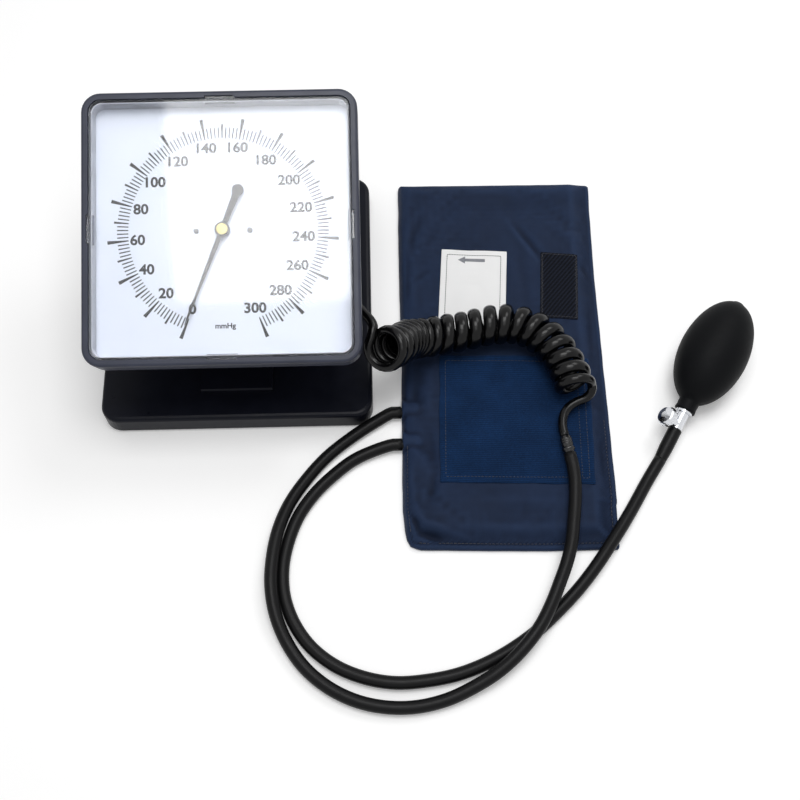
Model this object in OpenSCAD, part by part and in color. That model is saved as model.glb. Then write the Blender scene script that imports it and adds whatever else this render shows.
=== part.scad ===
// Desk-type aneroid sphygmomanometer: a square dial gauge that tilts on a flat desk base,
// with a curly tube, two hoses, an arm cuff and an inflation bulb.
// The origin is the middle of the base's underside. +X is right, +Y is away from the user, +Z is up.

/* [Base] */
// Width of the base
base_w = 190; // [170:1:210]
// Depth of the base
base_d = 200; // [190:1:220]
// Height of the base shell
base_h = 17; // [15:0.5:19]
// Corner radius of the base seen from above
base_corner = 13; // [9:1:20]
// Rounding of the base's top edge
base_edge = 3; // [1:0.5:4]
// Wall thickness of the base shell
base_wall = 2.5; // [2:0.1:3.5]
// Thickness of the steel plate that closes the base
plate_t = 2; // [1.5:0.1:3]
// Thickness of the anti-slip pad
pad_t = 2; // [1:0.5:3]

/* [Pedestal and tilt hinge] */
// Width of the pedestal and of its fork
neck_w = 50; // [46:1:60]
// How far the pedestal's foot reaches forward of the base's middle
foot_front = 80; // [70:1:85]
// How far the pedestal's foot reaches behind the base's middle
foot_back = 54; // [50:1:65]
// Thickness of the pedestal's foot
foot_t = 4; // [3:0.5:5]
// Radius of the fork's ears
ear_r = 13; // [11:0.5:14]
// Gap between the fork's ears
fork_gap = 30.4; // [28:0.2:34]
// Height of the hinge above the table
hinge_z = 58; // [56:1:66]
// Distance of the hinge behind the base's middle
hinge_y = 13; // [8:1:16]
// Radius of the hinge bolt
hinge_r = 4; // [3:0.5:5]
// Thickness of each friction washer
washer_t = 1; // [0.8:0.1:1.2]
// Tilt of the dial from the horizontal
tilt = 20; // [10:1:30]

/* [Gauge case] */
// Width and height of the case
case_w = 180; // [174:1:190]
// Corner radius of the case
case_corner = 12.6; // [10:0.2:16]
// Rounding of the case's front edge
case_edge = 1.8; // [0.6:0.2:2.4]
// Width of the bezel in front
bezel_w = 4.5; // [4:0.1:6]
// Depth of the case frame
frame_depth = 18; // [17:0.5:20]
// Depth of the whole case
case_depth = 54; // [53:0.5:58]
// Width and height of the box behind the frame
shell_w = 112; // [106:1:116]
// Corner radius of the box behind the frame
shell_corner = 14; // [10:1:18]
// Wall thickness of the rear shell
shell_wall = 2.5; // [2:0.1:3]
// Thickness of the plate that joins the hinge lug to the case
lug_plate_t = 3; // [2.5:0.5:4]
// Thickness of the clear window
window_t = 2; // [1.5:0.1:3]
// Width of each snap tab
tab_w = 18.5; // [14:0.5:24]

/* [Dial and pointer] */
// Depth of the dial below the front of the case
dial_depth = 14; // [13:0.5:15]
// Thickness of the dial plate
dial_t = 1; // [0.6:0.1:1.4]
// Radius of the inner end of every mark
mark_r = 62.1; // [58:0.1:64]
// Length of a mark for 2 mmHg
mark_short = 7.4; // [6:0.1:8]
// Length of a mark for 10 mmHg
mark_medium = 9.7; // [9:0.1:11]
// Length of a mark for 20 mmHg
mark_long = 14; // [12:0.1:15]
// Sweep of the pointer over the whole scale
sweep = 316.5; // [270:0.5:320]
// Length of the pointer from its centre to its tip
pointer_len = 67.6; // [60:0.1:69]
// Distance of the counterweight from the centre
tail_len = 28; // [22:0.5:32]
// Distance of each dial screw from the centre
dial_screw_x = 17.6; // [14:0.1:20]

/* [Movement] */
// Gear module
gear_m = 0.4; // [0.38:0.01:0.42]
// Teeth on the pinion
pinion_teeth = 16; // [14:1:18]
// Teeth that a whole sector wheel would have
sector_teeth = 128; // [120:1:136]
// Radius of the pressure capsule
capsule_r = 30; // [26:0.5:33]
// Thickness of the pressure capsule
capsule_t = 8; // [7:0.5:9]
// Length of the rocker arm over the capsule
short_arm = 6; // [5:0.1:7]

/* [Tubing] */
// Outer radius of a straight hose
hose_r = 4.3; // [4:0.1:5]
// Outer radius of the curly cord's tube
cord_r = 3.25; // [2.5:0.05:3.5]
// Outer radius of the curly cord's coil
coil_r = 14.5; // [12:0.5:16]

/* [Cuff] */
// Width of the folded cuff
cuff_w = 148; // [140:1:152]
// Length of the folded cuff
cuff_l = 296; // [285:1:300]
// Thickness of the folded cuff over its bladder
cuff_t = 11; // [10.6:0.1:11.2]
// Thickness of the cuff's sewn border
hem_t = 4; // [2:0.5:4]
// Width of the cuff's sewn border
hem_w = 8; // [5:1:10]
// Distance of the loop patch from the cuff's left edge
loop_left = 27; // [20:1:30]
// Distance of the loop patch from the cuff's right edge
loop_right = 13; // [10:1:20]
// Length of the loop patch along the cuff
loop_l = 98; // [80:1:100]
// Width of the hook patch
hook_w = 28; // [22:1:32]
// Length of the hook patch
hook_l = 56; // [44:1:60]
// Width of the label
label_w = 49; // [40:1:52]
// Length of the label
label_l = 70; // [60:1:74]
// Width of the bladder inside the cuff
bladder_w = 120; // [110:1:122]
// Length of the bladder inside the cuff
bladder_l = 200; // [180:1:210]

/* [Bulb and valve] */
// Largest radius of the bulb
bulb_r = 24; // [21:0.5:24.5]
// Length of the bulb
bulb_len = 89; // [84:1:100]
// Wall thickness of the bulb
bulb_wall = 2.6; // [2:0.1:3.2]
// Radius of the bulb's neck
bulb_neck_r = 7.5; // [6.5:0.1:8.5]
// Radius of the valve's body
valve_r = 4.25; // [4:0.05:5]
// Length of the valve between the hose and the bulb
valve_len = 14; // [13:0.5:18]
// Radius of the release knob
knob_r = 7.4; // [6:0.1:8]
// Angle of the release knob above the table
knob_rise = 45; // [30:5:60]

/* [Hidden] */
$fn = 48;
HULL_FN = 32;

// Clearances: a shaft in its bore, a part seated in its recess, and a cut that passes a face
run_gap = 0.05;
seat_gap = 0.3;
cut = 1;

NAVY = [0.09, 0.11, 0.19];
DARK = [0.05, 0.06, 0.09];
STEEL = [0.72, 0.73, 0.75];
BRASS = [0.80, 0.66, 0.38];
RUBBER = [0.03, 0.03, 0.035];

// Heights in the stand
base_top = pad_t + base_h;
foot_top = base_top + foot_t;
base_screw_x = base_w / 2 - 18;
base_screw_y = base_d / 2 - 18;
screw_r = 1.5;
head_r = 3;
head_t = 2;
pedestal_screw_x = neck_w / 2 - 7;
pedestal_screw_ys = [-foot_front + 14, foot_back - 8];

// The hinge: the lug fills the fork between two washers
lug_w = fork_gap - 2 * washer_t - 0.4;
ear_gap = 2;
head_reach = case_depth + lug_plate_t + ear_r + ear_gap;
bolt_head_r = 8;
bolt_head_t = 5;
lug_screw_x = 22;
lug_screw_y = 14;

// Depths in the case, measured down from its front face
open_w = case_w - 2 * bezel_w;
open_r = case_corner - bezel_w;
ledge_in = 10.5;
ledge_w = open_w - 2 * ledge_in;
dial_back = dial_depth + dial_t;
case_screw = open_w / 2 - 5.5;
flange_t = 2.5;
flange_w = case_w - 4;
shell_floor = case_depth - shell_wall;
window_w = open_w - 2 * seat_gap;
window_top = 0.6;
tab_h = 6;
tab_t = 1.2;

// Depths in the movement
mplate_t = 1.5;
front_plate_z = dial_back;
back_plate_z = dial_back + 11;
mplate_w = 84;
mplate_h = 52;
pillar_x = 38;
pillar_y = 22;
pinion_z = dial_back + 6.4;
pinion_h = 3.2;
sector_z = dial_back + 7.3;
sector_t = 1.5;
arbor_r = 1;
sector_shaft_r = 0.8;
spring_z = dial_back + 3.8;
spring_t = 0.8;
spring_w = 0.25;
spring_turns = 5;
spring_out = 8.6;
collet_r = 1.8;

// Gear geometry: the sector meshes with the pinion, and the rocker's long arm pushes its tail pin
gear_ratio = sector_teeth / pinion_teeth;
centre_dist = gear_m * (pinion_teeth + sector_teeth) / 2;
sector_swing = sweep / gear_ratio;
pin_r = 0.6;
pin_orbit = 3.66;
pin_len = 1.6;
contact_gap = 0.15;
arm_t = 1.2;
rocker_y = short_arm;
rocker_z = dial_back + 16.5;
rocker_r = 1;
sector_y = rocker_y + arm_t / 2 + contact_gap + pin_r;
sector_x = -sqrt(centre_dist * centre_dist - sector_y * sector_y);
long_arm = 6.3;
rocker_swing = pin_orbit * sector_swing / long_arm;
bearing_x = [sector_x - 8, 6];
button_gap = 0.3;
button_top = rocker_z + short_arm * tan(rocker_swing / 2) + arm_t / 2 / cos(rocker_swing / 2) + button_gap;
capsule_z = button_top + 1.5;
capsule_back = capsule_z + capsule_t;
port_z = (capsule_back + shell_floor) / 2;
tube_bend = 22;
tube_r = 2.6;
nipple_r = 1.5;
nipple_end = 16;
inlet_y = -(nipple_end + tube_bend);
inlet_end = shell_w / 2 + 10;

// Directions on the dial: the scale starts left of the bottom and runs clockwise
zero_angle = -90 - (360 - sweep) / 2;
mark_step = sweep / 150;

// Bulb: an egg behind a neck, with its heading and its rise, that rests on the table
bulb_yaw = 59.5;
bulb_rise = 11.2;
egg_half = (bulb_len - 7) / 2;
egg_mid = bulb_len - egg_half;
egg_drop = norm([egg_half * sin(bulb_rise), bulb_r * cos(bulb_rise)]);
neck_end = [313, -101, egg_drop - egg_mid * sin(bulb_rise)];
sleeve_len = 24;
bulb_dir = [cos(bulb_rise) * cos(bulb_yaw), cos(bulb_rise) * sin(bulb_yaw), sin(bulb_rise)];
sleeve_end = neck_end - (valve_len + sleeve_len) * bulb_dir;

// Cords: route points on the table, over the cuff and over each other
lead_route = [[66, -31.2, 68.3], [76, -33, 69], [85, -40, 70.5], [91.5, -49, 71.5], [95, -53.5, 72],
    [97, -58.5, 71.8], [96.5, -62.5, 71.5]];
coil_route = [[103.5, -76, 72], [112, -68, 61.5], [117, -59.5, 50], [119.5, -55, 44], [123.5, -51, 38],
    [131, -47, 32], [144.5, -43, 28], [162, -39.5, 27], [180, -35.5, 27], [196, -35, 27],
    [210, -41.5, 27], [220.5, -51.5, 27], [228, -65, 27], [233, -78.5, 27], [235.5, -87, 27]];
tail_route = [[245, -83.5, 23], [244, -89.5, 20], [238.5, -90, 17.5], [233.5, -92, 16.8],
    [229, -97.5, 16.8], [226.5, -103.5, 16.8], [226.5, -111, 16.8], [228, -119, 16.8]];
hose_a_route = [[230, -131, 16.8], [231.5, -140.5, 16.8], [232, -153, 16.7], [231, -165, 16],
    [229, -179, 15.7], [226, -195.5, 15.5], [222, -208, 15.2], [216, -222, 14.8], [209.5, -236, 14.3],
    [201, -250.5, 13.9], [188.5, -265, 12.2], [173.5, -277.5, 9.4], [156.5, -287, 6.6],
    [139.5, -294, 4.9], [120.5, -298, 4.5], [102, -298, 4.5], [83, -294, 4.5], [65, -285.5, 4.5],
    [49, -272.5, 4.5], [37, -256, 5], [29, -237.5, 7.8], [25.5, -218, 9.8], [26, -199.5, 10],
    [29.5, -179, 8.6], [37, -158.5, 5.6], [49, -140, 4.5], [62.5, -124.5, 4.5], [79.5, -110.5, 4.6],
    [97.5, -98.5, 5], [108.5, -92.5, 5.5]];
hose_b_route = [[108.5, -117, 5.5], [95, -121, 4.8], [81, -127.5, 4.5], [67.5, -138, 4.5],
    [54.5, -151, 4.5], [43.5, -167, 4.5], [36.5, -185, 4.5], [33, -203.5, 4.5], [34, -223, 4.5],
    [40.5, -241.5, 4.5], [52, -258, 4.5], [68.5, -271, 4.5], [87.5, -279, 4.5], [107, -282.5, 4.5],
    [127.5, -281.5, 4.5], [147, -278, 4.5], [165.5, -271.5, 4.5], [183, -262.5, 4.5], [200, -251, 4.5],
    [214.5, -238.5, 4.9], [229, -224.5, 6.3], [242, -209.5, 8.1], [252.5, -195.5, 8.7],
    [263.5, -180, 7.8], [273, -165.5, 6], [283, -149.5, 5.5], sleeve_end];
tube_sides = 10;
connector_from = tail_route[last_of(tail_route)];
connector_to = hose_a_route[0];
connector_dir = (connector_to - connector_from) / norm(connector_to - connector_from);

// Cuff: its left edge, lower edge and what is sewn on it
cuff_x = 114.5;
cuff_y = -195.5;
bladder_size = [bladder_w, bladder_l, 5];
bladder_at = [cuff_x + 8, cuff_y + 43, 3];
loop_y = cuff_y + 45.5;
hook_x = cuff_x + cuff_w - 14 - hook_w / 2;
patch_y = cuff_y + 201.5;
label_x = cuff_x + 55.8;
label_y = cuff_y + 198.3;
loop_turn = -2;
hook_turn = -4.6;
label_turn = -4.5;
nozzle_z = 5.5;
nozzle_ys = [hose_a_route[last_of(hose_a_route)][1], hose_b_route[0][1]];
nozzle_end = hose_b_route[0][0];
patch_t = 1.2;
hook_t = 1.8;
label_t = 0.4;

connector_r = 4.1;
spigot_r = 3.95;
spigot_len = 12;
barb_r = 2.9;
barb_len = 12;
flange_r = 6;
knob_x = -11;
knob_dist = 12;
spindle_r = 1.5;
check_r = 4.4;

// Unit conversions of a route: directions and rings
function unit(v) = v / norm(v);
function last_of(a) = len(a) - 1;
function heading(p, i) = unit(p[min(i + 1, last_of(p))] - p[max(i - 1, 0)]);
function side_of(d) = unit(cross([0, 0, 1], d));
function ring(centre, d, r, n) =
    let (s = side_of(d), u = cross(d, s))
    [for (k = [0 : n - 1]) centre + r * (cos(360 * k / n) * s + sin(360 * k / n) * u)];

// A tube that follows a list of points, as one closed solid. Each end can face what it meets
module swept_tube(path, r, n = tube_sides, from_dir = undef, to_dir = undef) {
    rings = len(path);
    dirs = [for (i = [0 : rings - 1])
        i == 0 && from_dir != undef ? from_dir
        : i == rings - 1 && to_dir != undef ? to_dir : heading(path, i)];
    points = [for (i = [0 : rings - 1]) each ring(path[i], dirs[i], r, n)];
    sides = [for (i = [0 : rings - 2], k = [0 : n - 1])
        let (a = i * n + k, b = i * n + (k + 1) % n) each [[a, a + n, b + n], [a, b + n, b]]];
    start = [for (k = [0 : n - 1]) k];
    finish = [for (k = [n - 1 : -1 : 0]) (rings - 1) * n + k];
    polyhedron(points, concat([start], sides, [finish]));
}

// A rectangle with round corners, about its middle
module round_rect(w, h, r) {
    union() {
        square([w - 2 * r, h], center = true);
        square([w, h - 2 * r], center = true);
        for (x = [-1, 1], y = [-1, 1]) translate([x * (w / 2 - r), y * (h / 2 - r)]) circle(r);
    }
}

// A block with round corners between two heights
module round_block(w, h, r, low, high) {
    translate([0, 0, low]) linear_extrude(high - low) round_rect(w, h, r);
}

// A block with round corners and a rounded top edge
module soft_block(w, h, r, low, high, edge) {
    hull() {
        for (x = [-1, 1], y = [-1, 1]) {
            translate([x * (w / 2 - r), y * (h / 2 - r), low])
                rotate_extrude($fn = HULL_FN)
                    polygon(concat([[0, 0], [r, 0]],
                        [for (a = [0 : 30 : 90])
                            [r - edge + edge * cos(a), high - low - edge + edge * sin(a)]],
                        [[0, high - low]]));
        }
    }
}

// A pan-head screw whose head sits on z = 0 and whose shank goes down
module screw_down(shank) {
    rotate_extrude() polygon([[0, -shank], [screw_r, -shank], [screw_r, 0], [head_r, 0],
        [head_r, head_t - 0.8], [head_r - 0.8, head_t], [0.9, head_t], [0.9, head_t - 0.9],
        [0, head_t - 0.9]]);
}

// A ring about z between two heights
module ring_between(r_in, r_out, low, high) {
    translate([0, 0, low]) difference() {
        cylinder(r = r_out, h = high - low);
        translate([0, 0, -cut]) cylinder(r = r_in, h = high - low + 2 * cut);
    }
}

// The four corners of a rectangle about the middle
module at_corners(x, y) {
    for (i = [-1, 1], j = [-1, 1]) translate([i * x, j * y, 0]) children();
}

// The gauge's own frame: its front face is z = 0 and it looks along +Z
module in_case() {
    translate([0, hinge_y, hinge_z]) rotate([tilt, 0, 0]) translate([0, 0, head_reach]) children();
}

// The bulb's own frame: +X runs from the neck's end to the tip
module in_bulb() {
    translate(neck_end) rotate([0, -bulb_rise, bulb_yaw]) children();
}

// The release screw's own frame: +Z runs from the valve's bore out through the knob
module in_knob() {
    in_bulb() translate([knob_x, 0, 0]) rotate([knob_rise - 90, 0, 0]) children();
}

module base_shell() {
    boss_r = 4.5;
    color(NAVY) difference() {
        union() {
            difference() {
                soft_block(base_w, base_d, base_corner, pad_t, base_top, base_edge);
                round_block(base_w - 2 * base_wall, base_d - 2 * base_wall,
                    base_corner - base_wall, pad_t - cut, base_top - base_wall);
            }
            at_corners(base_screw_x, base_screw_y)
                translate([0, 0, pad_t + plate_t]) cylinder(r = boss_r, h = base_h - plate_t - 1);
        }
        at_corners(base_screw_x, base_screw_y)
            translate([0, 0, pad_t]) cylinder(r = screw_r, h = 9);
        for (x = [-1, 1], y = pedestal_screw_ys)
            translate([x * pedestal_screw_x, y, pad_t]) cylinder(r = screw_r + run_gap, h = base_h + cut);
    }
}

module base_plate() {
    color(STEEL) difference() {
        round_block(base_w - 2 * base_wall - 2 * seat_gap, base_d - 2 * base_wall - 2 * seat_gap,
            base_corner - base_wall - seat_gap, pad_t, pad_t + plate_t);
        at_corners(base_screw_x, base_screw_y)
            translate([0, 0, pad_t - cut]) cylinder(r = screw_r + run_gap, h = plate_t + 2 * cut);
    }
}

module base_pad() {
    color(RUBBER) difference() {
        round_block(base_w - 14, base_d - 14, base_corner - 4, 0, pad_t);
        at_corners(base_screw_x, base_screw_y)
            translate([0, 0, -cut]) cylinder(r = head_r + 1, h = pad_t + 2 * cut);
    }
}

module base_screws() {
    color(STEEL) at_corners(base_screw_x, base_screw_y)
        translate([0, 0, pad_t]) mirror([0, 0, 1]) difference() {
            screw_down(8);
            translate([0, 0, pad_t - 0.4]) cylinder(r = head_r + cut, h = head_t);
        }
}

// Points along an arc
function arc(centre, r, from, to, steps = 8) =
    [for (i = [0 : steps]) let (a = from + (to - from) * i / steps) centre + r * [cos(a), sin(a)]];

// A side that leans by an angle and is tangent to the ear: how far from the hinge it meets the foot,
// and how far its fillet runs along the foot
function side_reach(lean) = (ear_r + (hinge_z - foot_top) * sin(lean)) / cos(lean);
function fillet_run(lean, r) = r * tan(45 - lean / 2);

// The pedestal's side profile: a low foot, a column with leaning sides and a round ear
module pedestal_profile() {
    front_lean = 13;
    front_r = 16;
    back_lean = 16;
    back_r = 8;
    edge = 1;
    front_y = hinge_y - side_reach(front_lean) - fillet_run(front_lean, front_r);
    back_y = hinge_y + side_reach(back_lean) + fillet_run(back_lean, back_r);
    polygon(concat(
        [[-foot_front, base_top], [-foot_front, foot_top - edge], [-foot_front + edge, foot_top]],
        arc([front_y, foot_top + front_r], front_r, -90, -front_lean),
        arc([hinge_y, hinge_z], ear_r, 180 - front_lean, back_lean, 20),
        arc([back_y, foot_top + back_r], back_r, 180 + back_lean, 270),
        [[foot_back - edge, foot_top], [foot_back, foot_top - edge], [foot_back, base_top]]));
}

module pedestal() {
    slot_r = ear_r + ear_gap;
    color(NAVY) difference() {
        rotate([90, 0, 90]) translate([0, 0, -neck_w / 2]) linear_extrude(neck_w) pedestal_profile();
        translate([0, hinge_y, hinge_z]) {
            rotate([0, 90, 0]) cylinder(r = slot_r, h = fork_gap, center = true);
            rotate([0, 90, 0]) cylinder(r = hinge_r + run_gap, h = neck_w + 2 * cut, center = true);
            translate([-fork_gap / 2, -2 * slot_r, -0.6 * slot_r]) cube([fork_gap, 4 * slot_r, 3 * slot_r]);
        }
        for (x = [-1, 1], y = pedestal_screw_ys)
            translate([x * pedestal_screw_x, y, base_top - cut])
                cylinder(r = screw_r, h = foot_t - 0.8 + cut);
    }
}

module pedestal_screws() {
    color(STEEL) for (x = [-1, 1], y = pedestal_screw_ys)
        translate([x * pedestal_screw_x, y, base_top - base_wall]) mirror([0, 0, 1])
            screw_down(base_wall + foot_t - 1);
}

module hinge_bolt() {
    color(STEEL) translate([0, hinge_y, hinge_z]) rotate([0, 90, 0]) difference() {
        union() {
            translate([0, 0, -neck_w / 2]) cylinder(r = hinge_r, h = neck_w + 6);
            translate([0, 0, -neck_w / 2]) rotate([180, 0, 0]) rotate_extrude()
                polygon(concat([[0, 0], [bolt_head_r, 0]],
                    [for (a = [0 : 15 : 90]) [bolt_head_r - 3 + 3 * cos(a), bolt_head_t - 3 + 3 * sin(a)]],
                    [[0, bolt_head_t]]));
        }
        translate([-0.8, -bolt_head_r, -neck_w / 2 - bolt_head_t - cut])
            cube([1.6, 2 * bolt_head_r, cut + 1.8]);
    }
}

module hinge_nut() {
    color(STEEL) translate([neck_w / 2, hinge_y, hinge_z]) rotate([0, 90, 0]) difference() {
        union() {
            cylinder(r = 7.5, h = 5.5, $fn = 6);
            cylinder(r = 6.2, h = 7.5);
        }
        translate([0, 0, -cut]) cylinder(r = hinge_r, h = 6 + cut);
    }
}

module friction_washers() {
    color(DARK) translate([0, hinge_y, hinge_z]) rotate([0, 90, 0])
        for (s = [0, 180]) rotate([s, 0, 0])
            ring_between(hinge_r + run_gap, ear_r - 3, fork_gap / 2 - washer_t, fork_gap / 2);
}

// The lug's side profile, with the hinge at the origin and the case above it
module lug_profile() {
    knuckle_r = ear_r - 2;
    plate_low = ear_r + ear_gap;
    union() {
        circle(knuckle_r);
        polygon([[-knuckle_r, 0], [knuckle_r, 0], [16, plate_low + 1], [-16, plate_low + 1]]);
    }
}

module tilt_lug() {
    color(NAVY) translate([0, hinge_y, hinge_z]) rotate([tilt, 0, 0]) difference() {
        union() {
            rotate([90, 0, 90]) translate([0, 0, -lug_w / 2]) linear_extrude(lug_w) lug_profile();
            translate([0, 0, ear_r + ear_gap]) linear_extrude(lug_plate_t)
                round_rect(2 * lug_screw_x + 12, 2 * lug_screw_y + 12, 5);
        }
        rotate([0, 90, 0]) cylinder(r = hinge_r + run_gap, h = lug_w + 2 * cut, center = true);
        at_corners(lug_screw_x, lug_screw_y)
            cylinder(r = screw_r + run_gap, h = head_reach);
    }
}

module lug_screws() {
    color(STEEL) in_case() at_corners(lug_screw_x, lug_screw_y)
        translate([0, 0, -case_depth - lug_plate_t]) mirror([0, 0, 1])
            screw_down(lug_plate_t + shell_wall + 1);
}

module rear_shell() {
    color(NAVY) in_case() difference() {
        union() {
            round_block(flange_w, flange_w, case_corner - 2, -frame_depth - flange_t, -frame_depth);
            mirror([0, 0, 1])
                soft_block(shell_w, shell_w, shell_corner, frame_depth + 0.5, case_depth, 3);
        }
        round_block(shell_w - 2 * shell_wall, shell_w - 2 * shell_wall, shell_corner - shell_wall,
            -shell_floor, cut - frame_depth);
        at_corners(case_screw, case_screw) translate([0, 0, -frame_depth - flange_t - cut])
            cylinder(r = screw_r + run_gap, h = flange_t + 2 * cut);
        at_corners(lug_screw_x, lug_screw_y) translate([0, 0, -case_depth - cut])
            cylinder(r = screw_r, h = shell_wall + 2 * cut);
        translate([shell_w / 2 - shell_wall - cut, inlet_y, -port_z]) rotate([0, 90, 0])
            cylinder(r = 2.5 + run_gap, h = shell_wall + 2 * cut);
    }
}

module rear_shell_screws() {
    color(STEEL) in_case() at_corners(case_screw, case_screw)
        translate([0, 0, -frame_depth - flange_t]) mirror([0, 0, 1])
            screw_down(flange_t + frame_depth - dial_back - 0.6);
}

module case_frame() {
    color(NAVY) in_case() difference() {
        soft_block(case_w, case_w, case_corner, -frame_depth, 0, case_edge);
        round_block(open_w, open_w, open_r, -dial_back, cut);
        round_block(ledge_w, ledge_w, open_r - 2, -frame_depth - cut, cut);
        for (a = [0 : 90 : 270]) rotate(a)
            translate([-tab_w / 2 - seat_gap, open_w / 2 - cut, -window_top - tab_h - seat_gap])
                cube([tab_w + 2 * seat_gap, cut + tab_t, tab_h + cut + window_top]);
        at_corners(case_screw, case_screw) translate([0, 0, -frame_depth - cut])
            cylinder(r = screw_r, h = frame_depth - dial_back + cut - 0.3);
    }
}

module window() {
    color([0.85, 0.9, 0.95, 0.3]) in_case() difference() {
        union() {
            soft_block(window_w, window_w, open_r - seat_gap, -dial_depth, -window_top, 0.8);
            for (a = [0 : 90 : 270]) rotate(a)
                translate([-tab_w / 2, window_w / 2 - cut, -window_top - tab_h])
                    cube([tab_w, cut + tab_t, tab_h - 0.6]);
        }
        round_block(window_w - 2 * window_t, window_w - 2 * window_t, open_r - seat_gap - window_t,
            -dial_depth - cut, -window_top - window_t);
    }
}

module dial_plate() {
    dial_w = open_w - 2 * seat_gap;
    color("white") in_case() translate([0, 0, -dial_back]) difference() {
        linear_extrude(dial_t) round_rect(dial_w, dial_w, open_r - seat_gap);
        translate([0, 0, -cut]) cylinder(r = 2.6, h = dial_t + 2 * cut);
        for (x = [-1, 1]) translate([x * dial_screw_x, 0, -cut]) cylinder(r = 0.95, h = dial_t + 2 * cut);
    }
}

// Printed marks: every 2 mmHg, longer wedges every 10 and 20 mmHg
module dial_scale() {
    print_t = 0.15;
    color("black") in_case() translate([0, 0, -dial_depth]) linear_extrude(print_t)
        for (i = [0 : 150]) {
            long = i % 10 == 0;
            medium = i % 5 == 0;
            length = long ? mark_long : medium ? mark_medium : mark_short;
            tip = long ? 1.1 : medium ? 0.8 : 0.28;
            root = medium ? 0.35 : 0.28;
            rotate(zero_angle - i * mark_step) translate([mark_r, 0])
                polygon([[0, -root / 2], [length, -tip / 2], [length, tip / 2], [0, root / 2]]);
        }
}

module dial_screws() {
    color(STEEL) in_case() for (x = [-1, 1]) translate([x * dial_screw_x, 0, -dial_depth])
        rotate_extrude() polygon([[0, -dial_t - mplate_t - 0.5], [0.9, -dial_t - mplate_t - 0.5],
            [0.9, 0], [1.85, 0], [1.85, 0.5], [1.3, 1], [0, 1]]);
}

// The needle lies along +X before it is turned to the zero mark
module pointer() {
    hub_r = 4.95;
    color("black") in_case() rotate(zero_angle) difference() {
        union() {
            translate([0, 0, -9.5]) linear_extrude(0.6) union() {
                polygon([[0, -1.75], [pointer_len - 6, -0.6], [pointer_len, -0.15], [pointer_len, 0.15],
                    [pointer_len - 6, 0.6], [0, 1.75]]);
                polygon([[0, -1.55], [-tail_len, -2.4], [-tail_len, 2.4], [0, 1.55]]);
                translate([-tail_len, 0]) circle(3.95);
            }
            translate([0, 0, -10.5]) cylinder(r = hub_r, h = 2.2);
            translate([0, 0, -12]) cylinder(r = 2.2, h = 2);
        }
        translate([0, 0, -12 - cut]) cylinder(r = arbor_r, h = 12);
    }
}

module pointer_cap() {
    color(BRASS) in_case() rotate_extrude()
        polygon([[0, -8.3], [3.6, -8.3], [3.6, -7.6], [3, -7.1], [1.4, -6.8], [0, -6.7]]);
}

// Involute tooth flanks: the point of a circle's involute at radius r, and the tooth's half angle there
function flank_angle(base_radius, r) =
    let (q = sqrt(max(0, r * r / (base_radius * base_radius) - 1))) q * 180 / PI - atan(q);
PRESSURE = 22;
BACKLASH = 0.05;
function half_angle(m, z, r) =
    let (rb = m * z / 2 * cos(PRESSURE), at_pitch = flank_angle(rb, m * z / 2))
    (90 / z) - BACKLASH / (m * z) * 180 / PI + at_pitch - flank_angle(rb, r);
function tooth_points(m, z, middle) =
    let (pitch_r = m * z / 2, rb = pitch_r * cos(PRESSURE), out = pitch_r + 0.9 * m,
        root = pitch_r - 1.2 * m, low = max(rb, root + 0.05),
        rise = [for (k = [0 : 3]) low + (out - low) * k / 3])
    concat([root * [cos(middle - half_angle(m, z, low)), sin(middle - half_angle(m, z, low))]],
        [for (r = rise) r * [cos(middle - half_angle(m, z, r)), sin(middle - half_angle(m, z, r))]],
        [for (k = [3 : -1 : 0]) rise[k]
            * [cos(middle + half_angle(m, z, rise[k])), sin(middle + half_angle(m, z, rise[k]))]],
        [root * [cos(middle + half_angle(m, z, low)), sin(middle + half_angle(m, z, low))]]);

// The line of centres runs from the sector's shaft to the pinion
mesh_angle = atan2(-sector_y, -sector_x);

module pinion_arbor() {
    color(STEEL) in_case() union() {
        translate([0, 0, -back_plate_z - mplate_t]) cylinder(r = arbor_r, h = back_plate_z + mplate_t - 8.3);
        translate([0, 0, -pinion_z - pinion_h]) linear_extrude(pinion_h) rotate(mesh_angle + 180)
            polygon([for (i = [0 : pinion_teeth - 1])
                each tooth_points(gear_m, pinion_teeth, i * 360 / pinion_teeth)]);
        translate([0, 0, -spring_z - spring_t - 0.4]) cylinder(r = collet_r, h = spring_t + 0.8);
    }
}

module hairspring() {
    steps = 28 * spring_turns;
    rise = (spring_out - collet_r - run_gap - spring_w) / steps;
    color(BRASS) in_case() translate([0, 0, -spring_z - spring_t]) linear_extrude(spring_t)
        polygon(concat(
            [for (i = [0 : steps]) (collet_r + run_gap + i * rise)
                * [cos(i * 360 / 28), sin(i * 360 / 28)]],
            [for (i = [steps : -1 : 0]) (collet_r + run_gap + spring_w + i * rise)
                * [cos(i * 360 / 28), sin(i * 360 / 28)]]));
}

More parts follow.
